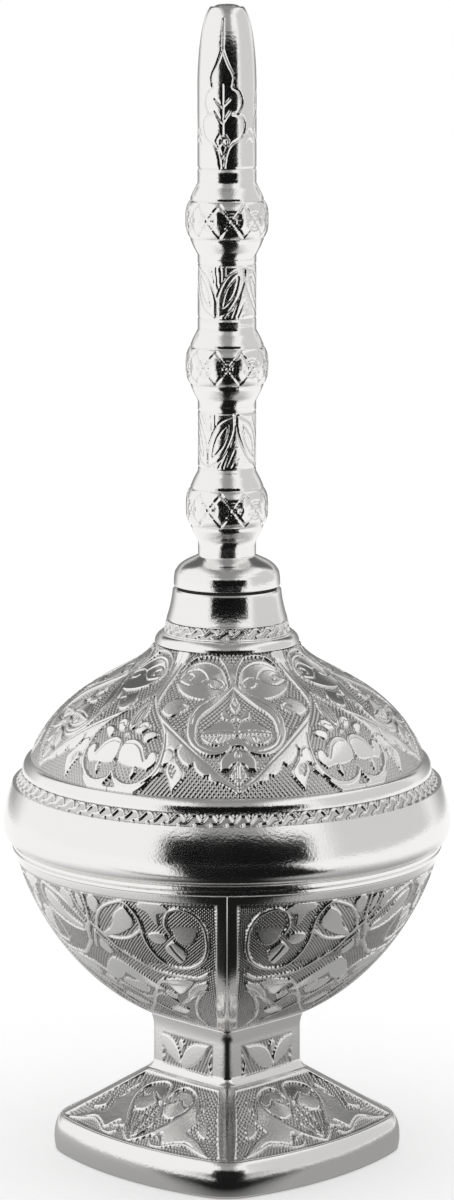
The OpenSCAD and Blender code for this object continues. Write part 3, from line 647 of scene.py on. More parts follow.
def carve_bowl(c):
    """Half of one face of the bowl, from the corner strip to the middle."""
    ground = c.pyramids(-0.62, -0.1)
    strip = 2.1
    panel_low, panel_high = 27.9, 58.2
    heights = np.linspace(panel_low, panel_high, 12)
    edge = [(float(strip_edge(strip, np.interp(z, bowl_profile[:, 1], bowl_profile[:, 0]))), z)
            for z in heights]
    c.area([edge[0]] + edge + [edge[-1]] + [(60, panel_high)] * 2 + [(60, panel_low)] * 2,
           ground, edge=0.4)
    c.rib([(3, 57.9), (60, 57.9)], 0.35, -0.05)
    # The round scroll beside the corner and the ring that follows it
    c.rib([(16.6, 51.6), (17.6, 53.6), (16.4, 56.0), (14.2, 56.9), (11.5, 56.8), (8.4, 55.6),
           (6.4, 53.4), (5.8, 51.0), (5.9, 48.6), (7.4, 46.1), (11.0, 44.3), (15.1, 43.7),
           (19.5, 44.0), (22.8, 45.5), (24.8, 47.6), (25.6, 50.4), (25.2, 51.8)], 0.7, 0.0)
    c.rib([(26.2, 55.2), (28.7, 57.3), (31.7, 57.2), (37.3, 55.3), (41.5, 52.0), (42.1, 50.2),
           (38.8, 48.8), (32.4, 49.2), (28.1, 50.6), (25.4, 52.4)], 0.65, 0.0, closed=True)
    c.area([(29.2, 56.4), (31.7, 55.6), (33.9, 54.1), (34.8, 52.8), (37.0, 51.2), (40.2, 49.9),
            (39.1, 49.3), (33.6, 50.3), (28.9, 52.1), (27.2, 53.8), (28.0, 55.2)], 0.0, swell=0.03)
    c.area([(7.7, 53.3), (7.7, 53.3), (16.2, 53.0), (16.2, 53.0), (14.9, 50.4), (12.3, 49.4),
            (9.5, 50.3)], -0.02 - 0.13 * np.maximum(c.height - 49.6, 0), edge=0.2)
    c.area([(12.5, 47.9), (14.4, 49.2), (16.6, 49.8), (19.2, 48.0), (17.6, 46.3), (15.4, 44.9),
            (13.4, 45.9)], -0.04)
    c.cut([(14, 45.9), (16, 47.6), (17, 49)], 0.34, 0.2)
    c.area([(17.8, 50.9), (20.4, 51.6), (23.8, 50.9), (22.8, 49.3), (19.6, 49.2)], -0.04)
    c.area([(15.9, 57.0), (18.1, 57.8), (23.8, 57.8), (24.9, 56.6), (22.4, 55.8), (20.6, 53.6),
            (19.4, 53.6), (19.1, 55.6), (17.5, 55.8)], -0.03)
    # The two straps that cross in the middle of the face
    c.rib([(45, 51.8), (43.2, 50.3), (40.8, 48.6), (37.8, 46.1), (31.8, 43.9), (26.1, 42.3),
           (20, 41.8), (13.0, 41.6), (9.2, 41.9), (6.4, 43.0)], 0.75, 0.0)
    c.rib([(42.7, 57.8), (43.2, 54.6), (45, 51.8)], 0.6, 0.0)
    c.rib([(45, 49.4), (42.6, 47.6), (39.6, 45.4)], 0.5, -0.02)
    c.area([(37.6, 56.2), (38.2, 57.4), (39.7, 57.9), (41.4, 57.0), (42.0, 55.4), (41.2, 54.1),
            (39.8, 54.2)], -0.04)
    c.area([(45, 57.8), (45, 57.8), (43.9, 56.6), (44.0, 54.9), (45, 53.8), (45, 53.8),
            (46.0, 54.9), (46.1, 56.6)], -0.03)
    c.area([(45, 47.6), (45, 47.6), (42.4, 46.0), (43.4, 44.7), (45, 44.3), (45, 44.3),
            (47, 45)], -0.04)
    # Leaves below the straps
    c.area([(45, 43.4), (45, 43.4), (42.7, 43.0), (35.1, 40.6), (26.5, 37.6), (26.5, 37.6),
            (30.4, 37.2), (37.8, 37.9), (45, 39.9), (45, 39.9), (50, 41)], -0.03, swell=0.03)
    c.area([(12.1, 40.9), (18.5, 41.0), (27.1, 39.6), (24.0, 38.9), (20.4, 37.0), (16.1, 38.3)],
           -0.02)
    c.cut([(15, 39.9), (20, 39.5), (25.6, 39.3)], 0.3, 0.16)
    c.area([(7.0, 40.9), (11.1, 40.1), (15.2, 38.2), (18.0, 35.8), (23.7, 33.7), (18, 34.9),
            (13.1, 36.7), (9.4, 38.2), (7.4, 39.6)], -0.04)
    c.cut([(8.4, 39.9), (12.4, 38.4), (16.4, 36.2)], 0.3, 0.18)
    c.rib([(8.0, 39.0), (11.6, 36.7), (14.8, 33.8), (16.4, 30.9), (14.8, 29.4), (12.8, 28.7)],
          0.65, -0.01)
    c.rib([(24.9, 40.3), (30.5, 38.2), (35.6, 35.9), (45, 32.8)], 0.7, 0.0)
    c.rib([(45, 32.8), (38, 31.3), (30, 30.0), (17.5, 28.5)], 0.55, -0.02)
    c.rib([(45, 33.9), (39.5, 34.5), (33.1, 35.8), (28.3, 35.6), (24.6, 34.2)], 0.5, -0.02)
    c.area([(37.0, 37.3), (41.3, 38.2), (45, 37.9), (45, 37.9), (45, 35.2), (45, 35.2),
            (41.6, 35.4), (38.6, 36.2)], -0.04, swell=0.03)
    c.area([(22.4, 36.8), (25.6, 37.3), (28.5, 36.6), (26.6, 35.6), (23.6, 35.4)], -0.04)
    c.area([(20.0, 32.6), (25.6, 33.3), (31.0, 32.5), (36, 31.4), (30.0, 31.1), (24.0, 31.3)],
           -0.04)


bowl_half_columns = 168
bowl_rows = bowl_profile[:, 1]
half = Carving(np.linspace(0, 45, bowl_half_columns + 1), bowl_rows, bowl_r)
carve_bowl(half)
bowl_metal = mirror(half.metal)
bowl_faces = []
for side in range(4):
    face = Carving(np.linspace(0, 90, 2 * bowl_half_columns + 1) + 90 * side, bowl_rows, bowl_r)
    face.metal = np.concatenate([half.metal, half.metal[:, -2::-1]], axis=1)
    bowl_faces.append(carved_casting(f"bowl_face_{side + 1}", face, 2.7, around=False,
                                     rows_each=8, columns_each=8))


def turned(name, outline, steps=192):
    """A ring turned from a closed outline of radius and height in mm."""
    bpy.ops.object.select_all(action="DESELECT")
    bpy.ops.mesh.primitive_circle_add(vertices=len(outline), radius=1)
    ring = bpy.context.object
    ring.name = name
    for vertex, (radius, height) in zip(ring.data.vertices, outline):
        vertex.co = (radius * MM, 0, height * MM)
    bpy.ops.object.mode_set(mode="EDIT")
    bpy.ops.mesh.select_all(action="SELECT")
    bpy.ops.mesh.spin(steps=steps, angle=2 * math.pi, center=(0, 0, 0), axis=(0, 0, 1))
    bpy.ops.mesh.select_all(action="SELECT")
    bpy.ops.mesh.remove_doubles(threshold=0.002 * MM)
    bpy.ops.mesh.normals_make_consistent(inside=False)
    bpy.ops.object.mode_set(mode="OBJECT")
    bpy.ops.object.shade_smooth_by_angle(angle=math.radians(30))
    ring.data.materials.append(silver)
    return ring


# The bead above the faces and the lap that goes up into the upper casting
lap_z, lap_r, lap_bore = 66.0, 39.2, 37.2
bead = turned("bowl_bead", [
    (lap_bore, bead_z - 1), (bowl_top_r - 0.4, bead_z - 1), (bowl_top_r - 0.4, bead_z),
    (bead_r - 0.25, bead_z), (bead_r, bead_z + 0.25), (bead_r, bead_z + 0.75),
    (bead_r - 0.3, bead_z + 0.95), (bead_r, bead_z + 1.15), (bead_r, seam_z - 0.25),
    (bead_r - 0.25, seam_z), (lap_r, seam_z), (lap_r, lap_z), (lap_bore, lap_z)])

lower_pieces = [foot_rim, foot_slope, stem, bead] + bowl_faces
for piece in lower_pieces:
    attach(piece, "bottle")
    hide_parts("lower_body")

# ---- Solder seam ----
# Soft solder that filled the lap between the castings. Wiped while hot, it left a fine
# rough line under the band.
dress("seam_solder", silver)

# ---- Upper casting: band and shoulder ----
# The same cast alloy and plate. A wide plain band, a strip of key pattern on its top
# edge and a plain ring lie under the carved dome.
skirt_z, key_z, ring_z, field_z = 62.3, 73.0, 75.2, 77.6
key_foot, key_top, field_r = 41.0, 39.1, 37.9
skirt_bore, lap_room = 39.5, 66.4
band_out, band_height = 1.8, key_z - skirt_z
band_line = bezier((bead_r, skirt_z), (bead_r + 1.6 * band_out, skirt_z + 0.05 * band_height),
                   (bead_r + 0.85 * band_out, skirt_z + 0.6 * band_height),
                   (key_foot, key_z), 28)
key_sunk = 0.6
ring_line = bezier((key_top, ring_z), (key_top, ring_z + 1.44), (field_r + 0.48, field_z),
                   (field_r, field_z), 8)
band = turned("wide_band", [(skirt_bore, skirt_z)] + [tuple(p) for p in band_line]
              + [(key_foot - 1.1, key_z), (key_top - key_sunk, ring_z)]
              + [tuple(p) for p in ring_line]
              + [(field_r - 2.5, field_z), (lap_r - 1, key_z), (lap_r - 1, lap_room),
                 (skirt_bore, lap_room)], steps=256)


def key_pattern(c, start, period, low, high):
    """One period of the key pattern: a hooked line that climbs over the next one, a
    small chevron below and a notch above."""
    def at(points):
        return [(start + u * period, low + v * (high - low)) for u, v in points]
    c.ridge(at([(0.06, 0.05), (0.0, 0.22), (0.0, 0.34), (0.16, 0.41), (0.44, 0.44), (0.66, 0.66),
                (0.84, 0.89), (1.0, 0.92), (1.16, 0.89), (1.29, 0.72), (1.42, 0.50)]), 0.5, 0.42)
    c.ridge(at([(0.70, 0.04), (0.90, 0.28), (1.08, 0.03)]), 0.34, 0.36)
    c.ridge(at([(0.38, 0.97), (0.5, 0.76), (0.64, 0.97)]), 0.32, 0.36)


def key_strip(name, low, high, radius_at, repeats, wall, deep, rows=16, cells=20):
    """A strip of key pattern right round. Its ground is cut deep below and less above,
    so that it stands more upright than the casting."""
    period = 360 / repeats
    heights = np.linspace(low, high, rows + 1)
    tile = Carving(np.linspace(0, period, cells, endpoint=False), heights, radius_at)
    for shift in (-2 * period, -period, 0, period):
        key_pattern(tile, shift, period, low, high)
    ground = -0.42 - (deep - 0.42) * np.linspace(1, 0, rows + 1)[:, None]
    strip = Carving(np.linspace(0, 360, repeats * cells, endpoint=False), heights, radius_at)
    strip.metal = np.tile(tile.metal, (1, repeats)) + ground
    return carved_casting(name, strip, wall, rows_each=rows, columns_each=cells,
                          outside=ground + 0.42)


wide_key = key_strip("wide_key_strip", key_z, ring_z,
                     lambda z, a: key_foot + (key_top - key_foot) * (z - key_z)
                     / (ring_z - key_z) + 0 * a, 84, 1.4, 0.95)

# ---- Upper casting: carved dome ----
# Five pointed cartouches hang side by side, with a drop-shaped panel between each two,
# all on a ground of pyramids. The model was carved by hand, and its front one is wider.
neck_z, field_top = 99.9, 13.9
field_width, field_height = field_r - field_top, neck_z - field_z
dome_profile = evenly(bezier(
    (field_r, field_z), (field_r - 0.27 * field_width, neck_z - 0.3 * field_height),
    (field_top + 0.118 * field_width, neck_z - 0.287 * field_height),
    (field_top, neck_z), 200), 0.2)
dome_rows = 168
dome_profile = evenly(dome_profile, np.hypot(*np.diff(dome_profile, axis=0).T).sum() / dome_rows)
front_half = 39.5
front_turn = 3.5


def dome_r(height, angle):
    """Radius of the dome."""
    return np.interp(height, dome_profile[:, 1], dome_profile[:, 0]) + 0 * angle


def carve_dome(c):
    """Half a cartouche (from 0) and half a drop panel (up to 39.5 degrees)."""
    def up(points):
        return [(a, field_z + z) for a, z in points]
    rim = front_half
    ground = c.hatching(-0.62, -0.18)
    c.metal[:] = ground
    # The strap between cartouche and drop, with its lobed lower edge
    c.area(up([(0, 1.9), (0, 1.9), (5.5, 4.2), (10.3, 6.6), (14.3, 8.3), (20.4, 10.5),
               (27.0, 12.3), (32.0, 13.4), (34.6, 14.6), (35.9, 16.2), (36.4, 18.0),
               (36.0, 19.6), (34, 21.6), (36, 23), (50, 23), (50, 23), (50, 0.1), (50, 0.1),
               (31.0, 0.1), (31.0, 0.1), (28.7, 1.1), (27.5, 2.1), (26.4, 2.9), (24.8, 3.4),
               (23.5, 4.3), (23.7, 5.3), (23.7, 5.3), (22.3, 5.5), (20.7, 5.9), (20.1, 6.7),
               (20.3, 7.6), (20.3, 7.6), (19.7, 7.9), (19.2, 7.1), (17.6, 6.1), (15.7, 5.5),
               (14.4, 5.5), (13.8, 5.9), (13.8, 5.9), (13.1, 5.0), (12.1, 4.4), (10.7, 3.9),
               (9.4, 3.8), (8.9, 4.0), (8.9, 4.0), (8.6, 3.4), (7.6, 3.0), (5.8, 2.7),
               (4.2, 2.3), (2.0, 1.6), (0, 0.7), (0, 0.7)]), 0.0)
    c.cut(up([(0, 1.35), (5, 3.5), (10, 6.0), (14.3, 7.7), (20.2, 9.8), (26.7, 11.6),
              (32.4, 12.8), (35.6, 14.2), (37.3, 16.2), (37.8, 18.4), (37.2, 20.4)]), 0.3, 0.18)
    # A leaf hangs between its lobes
    c.cut(up([(23.8, 7.7), (22.5, 8.1), (20.8, 7.7), (20.0, 7.3)]), 0.34, 0.26)
    c.cut(up([(20.2, 7.6), (19.0, 8.5)]), 0.4, 0.3)
    c.area(up([(21.8, 5.0), (20.9, 6.1), (19.6, 6.9), (18.5, 5.9), (17.3, 5.2), (16.2, 4.3),
               (16.9, 3.0), (18.6, 1.5), (19.1, 0.5), (19.1, 0.5), (19.9, 2.0), (21.0, 3.3),
               (21.9, 4.2)]), -0.04)
    c.area(up([(20.7, 5.4), (19.0, 5.2), (18.4, 4.0), (19.5, 3.4), (20.6, 4.4)]),
           c.strokes(-0.4, -0.15))
    # The drop: hatched, with a loop below and a grooved border
    drop = [(rim, 15.6), (rim, 15.6), (35.5, 14.4), (32.0, 13.2), (28.4, 11.8), (25.9, 10.2),
            (24.9, 8.6), (24.7, 7.0), (25.1, 5.4), (26.5, 3.9), (28.7, 2.7), (30.8, 2.0),
            (33.4, 1.7), (36.6, 2.1), (38.8, 3.3)]
    c.area(up(drop + [(rim, 4.6), (rim, 4.6), (50, 4.6), (50, 4.6), (50, 15.6), (50, 15.6)]),
           ground)
    c.cut(up([(a + 0.8 * (a - 36) / 11 - 0.3, z - 0.5 * (10 - z) / 8) for a, z in drop[5:]]),
          0.32, 0.22)
    c.area(up([(38.4, 5.2), (39.2, 6.0), (39.4, 7.4), (38.6, 8.5), (36.7, 9.0), (34.1, 8.9),
               (31.4, 8.1), (30.1, 6.9), (29.1, 6.0), (29.1, 6.0), (28.3, 7.1), (26.8, 7.4),
               (25.6, 6.8), (25.5, 5.9), (26.7, 4.9), (28.3, 4.4), (30.7, 4.7), (33.1, 4.7),
               (36.2, 4.8)]), -0.05, swell=0.05)
    c.cut(up([(38.2, 8.2), (36.7, 8.4), (34.3, 8.3), (32.1, 7.6), (30.8, 6.7), (29.6, 5.7)]),
          0.36, 0.2)
    c.area(up([(32.6, 4.9), (33.2, 3.9), (33.1, 2.5), (32.1, 3.1), (31.7, 4.1)]), -0.05)
    c.area(up([(37.1, 10.3), (36.4, 11.5), (33.8, 11.9), (32.2, 11.3), (33.2, 10.6),
               (35.0, 10.1)]), -0.05)
    c.cut(up([(36.2, 10.8), (34.6, 11.3), (33.4, 11.1)]), 0.28, 0.18)
    c.area(up([(32.1, 8.9), (29.7, 9.3), (27.8, 10.1), (29.8, 10.5), (32.7, 10.0)]), -0.05)
    c.area(up([(rim, 15.1), (rim, 15.1), (37.4, 14.1), (36.5, 12.8), (37.3, 11.5), (38.3, 10.7),
               (rim, 10.4), (rim, 10.4), (43, 12.5)]), -0.06)
    c.area(up([(rim, 14.3), (rim, 14.3), (38.2, 13.4), (37.8, 12.5), (38.5, 11.6), (rim, 11.2),
               (42, 12.5)]), -0.4)
    c.area(up([(rim, 10.1), (38.2, 9.7), (rim, 9.3), (40.8, 9.7)]), -0.05)
    c.area(up([(rim, 2.9), (rim, 2.9), (38.1, 1.7), (37.0, 0.9), (37.0, 0.9), (42, 0.9)]), ground)
    # The two big lobes at the top of the cartouche
    c.area(up([(0, 20.2), (2.6, 20.7), (6.5, 21.7), (8.4, 21.8), (8.4, 21.2), (5.4, 20.4),
               (2.9, 19.0), (1.8, 17.6), (3.4, 16.6), (0, 15.2), (-4, 17), (-4, 21)]), -0.03)
    c.area(up([(2.6, 17.5), (2.6, 17.5), (4.4, 19.1), (8.0, 20.3), (15.9, 21.1), (25.0, 20.9),
               (31.8, 19.7), (33.2, 18.3), (30.2, 16.9), (23.5, 15.9), (16.0, 15.5),
               (10.0, 15.7), (5.6, 16.4)]), -0.05, swell=0.05)
    c.cut(up([(4.0, 17.7), (5.6, 18.9), (9.0, 19.9), (16.2, 20.6), (24.5, 20.4),
              (30.4, 19.4)]), 0.3, 0.2)
    c.cut(up([(31.0, 17.7), (24.6, 17.3), (19.2, 17.7), (15.9, 18.2), (10.5, 18.4), (6.6, 18.0),
              (5.4, 17.4), (8.1, 17.0), (12.1, 17.2), (13.4, 17.6)]), 0.34, 0.3)
    c.cut(up([(31.6, 18.2), (29.9, 19.1), (23.5, 19.6), (18.1, 19.1), (15.2, 18.3)]), 0.34, 0.28)
    c.cut(up([(29.6, 18.3), (27.5, 18.8), (24.6, 18.6), (24.4, 18.0), (26.2, 18.0)]), 0.3, 0.24)
    c.rib(up([(7, 21.6), (14.4, 22.0), (23.7, 21.8), (30.5, 20.9), (34.4, 19.2)]), 0.4, -0.02)
    # The ogee below them, with its flower and pair of leaves
    c.area(up([(0, 18.1), (1.6, 17.5), (6.2, 16.3), (9.6, 15.9), (13.6, 15.6), (17.0, 14.9),
               (18.5, 13.4), (18.2, 11.8), (17.4, 10.2), (15.3, 8.8), (12.3, 7.8), (9.9, 7.3),
               (7.4, 7.2), (5.0, 7.5), (2.9, 8.1), (1.8, 8.6), (0, 8.8), (0, 8.8), (-3, 12)]), 0.0)
    c.area(up([(0, 17.2), (0, 17.2), (1.7, 16.7), (5.0, 15.9), (9.7, 14.5), (13.0, 13.5),
               (14.6, 12.3), (14.6, 10.8), (13.4, 9.6), (11.0, 8.8), (7.4, 8.6), (4.2, 8.9),
               (1.8, 9.7), (0, 10.0), (0, 10.0), (-3, 12)]), ground)
    c.cut(up([(8.6, 16.0), (12.6, 15.1), (15.6, 14.3), (17.0, 13.1), (16.9, 12.0)]), 0.32, 0.26)
    c.cut(up([(1.8, 8.9), (4.2, 8.1), (7.4, 7.8), (10.6, 8.1), (13.2, 8.8), (15.0, 9.9)]),
          0.28, 0.14)
    c.area(up([(0, 16.9), (0, 16.9), (1.6, 15.8), (2.4, 15.0), (1.4, 14.2), (0, 13.9),
               (-2, 15)]), -0.05)
    c.cut(up([(0, 15.7), (0.9, 15.1), (0, 14.5), (-0.9, 15.1)]), 0.3, 0.3, closed=True)
    c.area(up([(0, 13.4), (1.6, 13.2), (3.0, 13.6), (4.4, 14.3), (5.8, 13.8), (5.4, 13.0),
               (3.6, 12.7), (2.0, 12.6), (0, 12.9), (-2, 13)]), -0.05)
    c.area(up([(0, 11.3), (1.7, 12.3), (5.8, 12.5), (8.8, 11.9), (12.2, 10.8), (12.0, 9.9),
               (9.4, 9.1), (6.2, 8.9), (3.4, 9.2), (1.2, 10.0), (0, 10.4), (-3, 10)]),
           -0.03, swell=0.03)
    c.area(up([(1.4, 10.5), (11.2, 10.3), (10.8, 9.8), (8.6, 9.3), (6.0, 9.1), (3.6, 9.4)]),
           c.strokes(-0.42, -0.12))
    c.cut(up([(1.0, 10.9), (6, 11.0), (12.0, 10.6)]), 0.34, 0.3)
    c.area(up([(6.4, 10.4), (7.2, 9.8), (6.4, 9.2), (5.6, 9.8)]), -0.05)
    # A small leaf on each side
    c.area(up([(31.2, 13.7), (30.6, 14.9), (26.8, 15.5), (23.2, 15.2), (20.2, 14.5), (22.7, 13.6),
               (25.3, 13.1), (28.3, 13.0)]), -0.05, swell=0.04)
    c.cut(up([(24.6, 14.2), (23.0, 14.6), (21.2, 14.3)]), 0.3, 0.22)
    # The bud at its point
    c.area(up([(0, 7.9), (2.5, 7.75), (4.6, 7.1), (5.6, 6.0), (5.2, 4.9), (4.2, 5.0),
               (2.9, 5.1), (1.7, 5.8), (0, 6.1), (-3, 6.6)]), -0.02)
    c.area(up([(5.3, 4.7), (3.0, 4.8), (2.0, 5.4), (1.7, 4.6), (2.7, 3.8), (4.6, 4.2)]), -0.66)
    c.area(up([(0, 6.0), (1.3, 5.5), (1.8, 4.8), (2.4, 4.0), (1.2, 3.1), (0, 2.1), (0, 2.1),
               (-2, 4)]), -0.03)
    c.cut(up([(0.6, 5.4), (0.7, 4.2), (0.3, 3.0)]), 0.26, 0.26)
    c.cut(up([(1.3, 4.9), (1.5, 4.2), (0.9, 3.4)]), 0.26, 0.2)
    c.cut(up([(-0.85, 7.25), (0, 7.75), (0.85, 7.25), (0, 6.75)]), 0.26, 0.24, closed=True)


dome_columns = 120
back_half = (360 - 2 * front_half) / 8
dome_fields = []
half = Carving(np.linspace(0, front_half, dome_columns + 1), dome_profile[:, 1], dome_r)
carve_dome(half)
for panel in range(5):
    width = front_half if panel == 0 else back_half
    middle = front_turn + (0 if panel == 0 else front_half + back_half * (2 * panel - 1))
    field = Carving(middle + np.linspace(-width, width, 2 * dome_columns + 1),
                    dome_profile[:, 1], dome_r)
    field.metal = mirror(half.metal)
    dome_fields.append(carved_casting(f"dome_field_{panel + 1}", field, 2.2, around=False,
                                      rows_each=8, columns_each=8))

# ---- Upper casting: neck ----
# It narrows to the seat of the spout, with a plain bead and a small key strip at its
# foot. The brass bush sits in its bore.
gasket_z, neck_r, bush_r, roof_z = 110.3, 10.3, 7.2, 101.2
neck_width, neck_height = field_top - neck_r, gasket_z - neck_z
neck_line = bezier((field_top, neck_z), (neck_r + 0.455 * neck_width, neck_z + 0.206 * neck_height),
                   (neck_r + 0.04 * neck_width, neck_z + 0.69 * neck_height),
                   (neck_r, gasket_z), 60)
bead_top_z, fret_z, fret_top_z = 101.9, 102.24, 104.24


def neck_radius(height, angle):
    """Radius of the neck."""
    return np.interp(height, neck_line[:, 1], neck_line[:, 0]) + 0 * angle


def neck_part(low, high, sunk=0.0):
    """The neck's outline between two heights."""
    inside = [tuple(p) for p in neck_line if low < p[1] < high]
    ends = [(float(neck_radius(z, 0.0)), z) for z in (low, high)]
    return [(r - sunk, z) for r, z in [ends[0]] + inside + [ends[1]]]


neck = turned("neck", [(bush_r, roof_z), (9, roof_z), (9, neck_z - 1.2), (field_top - 1, neck_z - 1.2)]
              + [(field_top - 1, neck_z), (field_top - 0.45, neck_z), (field_top - 0.16, neck_z + 0.12),
                 (field_top - 0.18, neck_z + 0.45), (field_top - 0.32, neck_z + 0.9),
                 (field_top - 0.55, neck_z + 1.3), (field_top - 0.85, neck_z + 1.62),
                 (field_top - 1.25, neck_z + 1.84)]
              + neck_part(bead_top_z - 0.05, bead_top_z)
              + neck_part(bead_top_z + 0.1, fret_z - 0.05, 0.35) + neck_part(fret_z, fret_top_z, 0.95)
              + neck_part(fret_top_z + 0.05, fret_top_z + 0.25, 0.25)
              + neck_part(fret_top_z + 0.35, gasket_z - 0.3)
              + [(neck_r - 0.25, gasket_z), (bush_r, gasket_z)])
neck_key = key_strip("neck_key_strip", fret_z, fret_top_z, neck_radius, 26, 1.2, 0.75)

for piece in [band, wide_key, neck, neck_key] + dome_fields:
    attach(piece, "bottle")
    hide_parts("upper_body")


# ---- Brass bush and nipple ----
# Turned brass. The bush is pressed into the neck and carries the female thread; the
# nipple is pressed into the spout and screws into it.
def turned_brass():
    """Turned brass, left bright: fine rings from the lathe tool, 0.15 mm apart."""
    material, tree = new_material("turned_brass")
    place = add_node(tree, "ShaderNodeTexCoord")
    rings = add_node(tree, "ShaderNodeTexWave", [
        ("Vector", place.outputs["Object"]), ("Scale", 1 / (3 * MM)), ("Distortion", 0.4)],
        bands_direction="Z")
    marks = add_node(tree, "ShaderNodeBump", [
        ("Height", rings.outputs["Fac"]), ("Strength", 0.15), ("Distance", 0.01 * MM)])
    surface = add_node(tree, "ShaderNodeBsdfPrincipled", [
        ("Base Color", linear("#D9B56A")), ("Metallic", 1.0), ("Roughness", 0.28),
        ("Normal", marks.outputs[0])])
    add_node(tree, "ShaderNodeOutputMaterial", [("Surface", surface.outputs[0])])
    return material


brass = turned_brass()
dress("neck_bush", brass)
dress("nipple", brass)


# ---- Washer ----
# A flat rubber washer between neck and collar, cut from sheet and a little dusty.
def washer_rubber():
    """Black nitrile rubber: matt, with a faint bloom."""
    material, tree = new_material("black_rubber")
    place = add_node(tree, "ShaderNodeTexCoord")
    bloom = add_node(tree, "ShaderNodeTexNoise", [
        ("Vector", place.outputs["Object"]), ("Scale", 1 / (1.5 * MM)), ("Detail", 3.0)])
    tone = add_node(tree, "ShaderNodeMix", [
        ("Factor", bloom.outputs["Fac"]), ("A", linear("#1A1A1A")), ("B", linear("#2C2C2C"))],
        data_type="RGBA")
    surface = add_node(tree, "ShaderNodeBsdfPrincipled", [
        ("Base Color", tone.outputs["Result"]), ("Roughness", 0.7)])
    add_node(tree, "ShaderNodeOutputMaterial", [("Surface", surface.outputs[0])])
    return material


dress("gasket", washer_rubber())

# ---- Spout ----
# Cast in two halves, soldered, turned and plated. Three bulbs cut with rings divide it;
# leaves are engraved between them and a flame on the tip.
collar_z, waist_z, tip_z, mouth_z = 110.9, 116.6, 205.5, 219.5
bulb_zs = (126.0, 152.8, 180.2)
collar_r, spout_r, ring_r, bulb_r, mouth_r = 10.1, 5.5, 7.05, 7.8, 3.1
bulb_half, bulb_cone = 3.4, 3.3
spout_line = [tuple(p) for p in bezier((collar_r, collar_z), (collar_r, collar_z + 1.45),
                                       (collar_r - 0.1, collar_z + 2.61),
                                       (collar_r - 0.45, collar_z + 2.9), 8)]
spout_line += [tuple(p) for p in bezier((collar_r - 0.45, collar_z + 2.9), (8.9, 115.34),
                                        (6.6, 115.9), (spout_r, waist_z), 10)[1:]]
for z in bulb_zs:
    spout_line += [(spout_r, z - bulb_half - bulb_cone),
                   (spout_r + 0.56 * (ring_r - spout_r), z - bulb_half - bulb_cone / 2)]
    for step in range(17):
        u = step / 8 - 1
        spout_line.append((ring_r + (bulb_r - ring_r) * math.sqrt(1 - (0.92 * u) ** 2)
                           * (1 - u ** 6), z + u * bulb_half))
    spout_line += [(spout_r + 0.56 * (ring_r - spout_r), z + bulb_half + bulb_cone / 2),
                   (spout_r, z + bulb_half + bulb_cone)]
spout_line += [tuple(p) for p in bezier((spout_r, tip_z), (spout_r - 0.1, tip_z + 6.3),
                                        (spout_r - 0.9, mouth_z - 1.4), (mouth_r, mouth_z), 16)]
spout_line = np.array(spout_line)

# Rows close together where something is engraved, and wide apart on the plain metal
leaf_panels = ((133.6, 144.0), (161.9, 171.7))
finial_z = 189.7
fine, coarse = 0.22, 0.9


def spout_rows():
    """Heights of the rows up the spout."""
    busy = [(z - bulb_half - 0.4, z + bulb_half + 0.4) for z in bulb_zs]
    busy += [(low - 0.4, high + 0.4) for low, high in leaf_panels]
    busy += [(finial_z - 0.4, mouth_z - 1.0), (collar_z, waist_z + 0.5)]
    marks = sorted(set([collar_z, mouth_z] + [z for pair in busy for z in pair]
                       + [float(z) for z in spout_line[:, 1]]))
    rows = [collar_z]
    for low, high in zip(marks, marks[1:]):
        if high - low < 0.02:
            continue
        middle = (low + high) / 2
        step = fine if any(a <= middle <= b for a, b in busy) else coarse
        count = max(1, math.ceil((high - low) / step))
        rows += [low + (high - low) * (k + 1) / count for k in range(count)]
    return np.array(rows)


def spout_radius(height, angle):
    """Radius of the spout."""
    return np.interp(height, spout_line[:, 1], spout_line[:, 0]) + 0 * angle


def engrave_leaves(c, low, high, turn):
    """Three pairs of long leaves that lean together, with hatching between them."""
    tall = high - low
    ring = [(turn + a, low - 0.1) for a in range(0, 361, 30)]
    c.cut(ring, 0.4, 0.2)
    c.cut([(a, high + 0.1) for a, _ in ring], 0.4, 0.2)
    for start in (turn - 30, turn + 90, turn + 210):
        for lean in (1, -1):
            foot = start if lean == 1 else start + 120
            def at(u, v, foot=foot, lean=lean):
                return (foot + lean * (60 * u), low + tall * v)
            leaf = [at(0.02, 0.02), at(0.02, 0.02), at(0.05, 0.42), at(0.42, 0.82), at(0.98, 0.98),
                    at(0.98, 0.98), at(0.92, 0.62), at(0.52, 0.20)]
            c.area(leaf, -0.02)
            c.cut(leaf, 0.34, 0.3, closed=True)
            c.cut([at(0.22, 0.22), at(0.36, 0.56), at(0.74, 0.80), at(0.60, 0.46)], 0.3, 0.26,
                  closed=True)
        for k in range(5):
            c.cut([(start + 34 + 9 * k - 18, low + 0.3), (start + 52 + 8 * k - 18,
                   low + 0.5 + tall * (0.40 - 0.12 * abs(k - 2)))], 0.26, 0.24)
        for k in range(5):
            c.cut([(start - 26 + 9 * k + 8, high - 0.3), (start - 14 + 7 * k + 4,
                   high - 0.5 - tall * (0.36 - 0.1 * abs(k - 2)))], 0.26, 0.24)
        c.area([(start + 60, low + 0.36 * tall)] * 2 + [(start + 54, low + 0.2 * tall),
               (start + 60, low + 0.06 * tall), (start + 66, low + 0.2 * tall)], -0.02)


